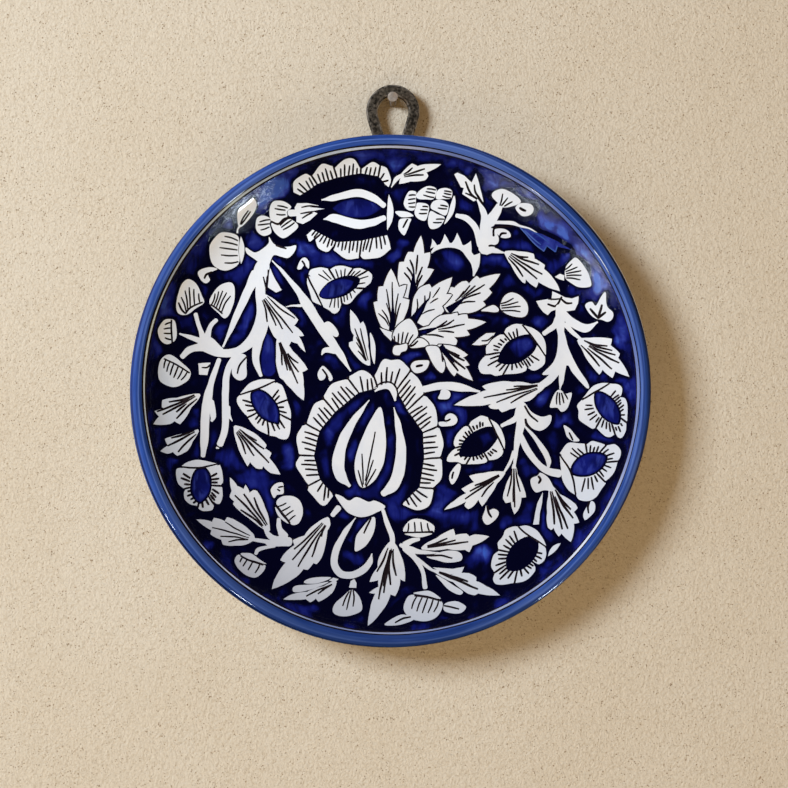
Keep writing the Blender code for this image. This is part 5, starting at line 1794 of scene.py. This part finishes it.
class DriveNail(bpy.types.Operator):
    """Build the worn wall nail over its solid"""

    bl_idname = "wall_plate.drive_nail"
    bl_label = "Wall nail"

    def execute(self, context):
        settings = context.scene.wall_plate_nail
        mesh = nail_mesh()
        mesh.shade_smooth()
        mesh.set_sharp_from_angle(angle=radians(40))
        nail = piece_of(mesh, "worn_wall_nail", [steel_finish(settings)])
        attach(nail, ROOT)
        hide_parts("wall_nail")
        return {"FINISHED"}


class DressStage(bpy.types.Operator):
    """Set up the plaster wall, the floor, the lamps and the camera"""

    bl_idname = "wall_plate.dress_stage"
    bl_label = "Stage"

    def execute(self, context):
        scene, look = context.scene, context.scene.wall_plate_stage
        for name, colour, place, turn in (
            ("backdrop_wall", look.wall, (0, 0.0004, -0.15), radians(90)),
            ("floor", look.floor, (0, -1.9, -1.5), 0.0),
        ):
            bm = bmesh.new()
            bmesh.ops.create_grid(bm, x_segments=8, y_segments=8, size=2.0)
            turn_all(bm, turn, "X")
            bmesh.ops.translate(bm, verts=bm.verts, vec=place)
            plane = piece_of(mesh_of(bm, name), name, [plaster_finish(colour)])
            plane.visible_glossy = plane.visible_shadow = False
        soft_lamp("key", (-1.32, -1.55, 0.54), 0.68, 58, (0.828, 0.925, 1.0), glossy=False)
        soft_lamp("fill", (-0.1, -1.1, -1.55), 1.3, 9.5, (1.0, 0.72, 0.34), glossy=False)
        soft_lamp("warm_fill", (-0.1, -1.1, -1.55), 1.3, 10.5, (1.0, 0.59, 0.15), glossy=False, shadow=False)
        soft_lamp("rear", (0.55, 1.3, 0.45), 1.0, 3.5, (1.0, 0.88, 0.7))
        soft_lamp("low_right", (0.64, -0.34, -0.97), 0.12, 2.8, (0.72, 0.84, 1.0), diffuse=False)
        soft_lamp("low_left", (-0.6, -0.34, -1.0), 0.09, 1.6, (0.8, 0.88, 1.0), diffuse=False)
        soft_lamp("far_left", (-0.88, -0.34, -0.69), 0.09, 1.6, (0.8, 0.88, 1.0), diffuse=False)
        world = bpy.data.worlds.new("studio")
        world.use_nodes = True
        background = world.node_tree.nodes["Background"]
        background.inputs["Color"].default_value = (1.0, 0.69, 0.4, 1.0)
        background.inputs["Strength"].default_value = 0.3
        world.cycles_visibility.glossy = False
        scene.world = world
        scene.view_settings.view_transform = "Standard"
        camera = bpy.data.objects.new("camera", bpy.data.cameras.new("camera"))
        camera.data.lens = look.lens
        camera.data.sensor_width = 36
        camera.location = (0.00056, -look.distance, -0.14546)
        camera.rotation_euler = (radians(90), 0, 0)
        scene.collection.objects.link(camera)
        scene.camera = camera
        return {"FINISHED"}


class WallPlatePanel(bpy.types.Panel):
    """Lists the pieces of the wall plate, the stage and their settings"""

    bl_idname = "VIEW3D_PT_wall_plate"
    bl_label = "Wall Plate"
    bl_space_type = "VIEW_3D"
    bl_region_type = "UI"
    bl_category = "Wall Plate"

    def draw(self, context):
        for step, group in STEPS:
            box = self.layout.box()
            box.operator(step.bl_idname)
            for key in group.__annotations__:
                box.prop(getattr(context.scene, SETTINGS[group]), key)


SETTINGS = {
    WallPlateLook: "wall_plate_look",
    HangerLook: "wall_plate_hanger",
    NailLook: "wall_plate_nail",
    StageLook: "wall_plate_stage",
}
STEPS = [(DressStage, StageLook), (PaintPlate, WallPlateLook), (ForgeHanger, HangerLook),
         (DriveNail, NailLook)]


def register():
    for group, name in SETTINGS.items():
        bpy.utils.register_class(group)
        setattr(bpy.types.Scene, name, PointerProperty(type=group))
    for step, group in STEPS:
        bpy.utils.register_class(step)
    bpy.utils.register_class(WallPlatePanel)


def unregister():
    bpy.utils.unregister_class(WallPlatePanel)
    for step, group in reversed(STEPS):
        bpy.utils.unregister_class(step)
    for group, name in SETTINGS.items():
        delattr(bpy.types.Scene, name)
        bpy.utils.unregister_class(group)


def main():
    register()
    bpy.ops.wall_plate.dress_stage()
    bpy.ops.wall_plate.paint_plate()
    bpy.ops.wall_plate.forge_hanger()
    bpy.ops.wall_plate.drive_nail()


if __name__ == "__main__":
    main()
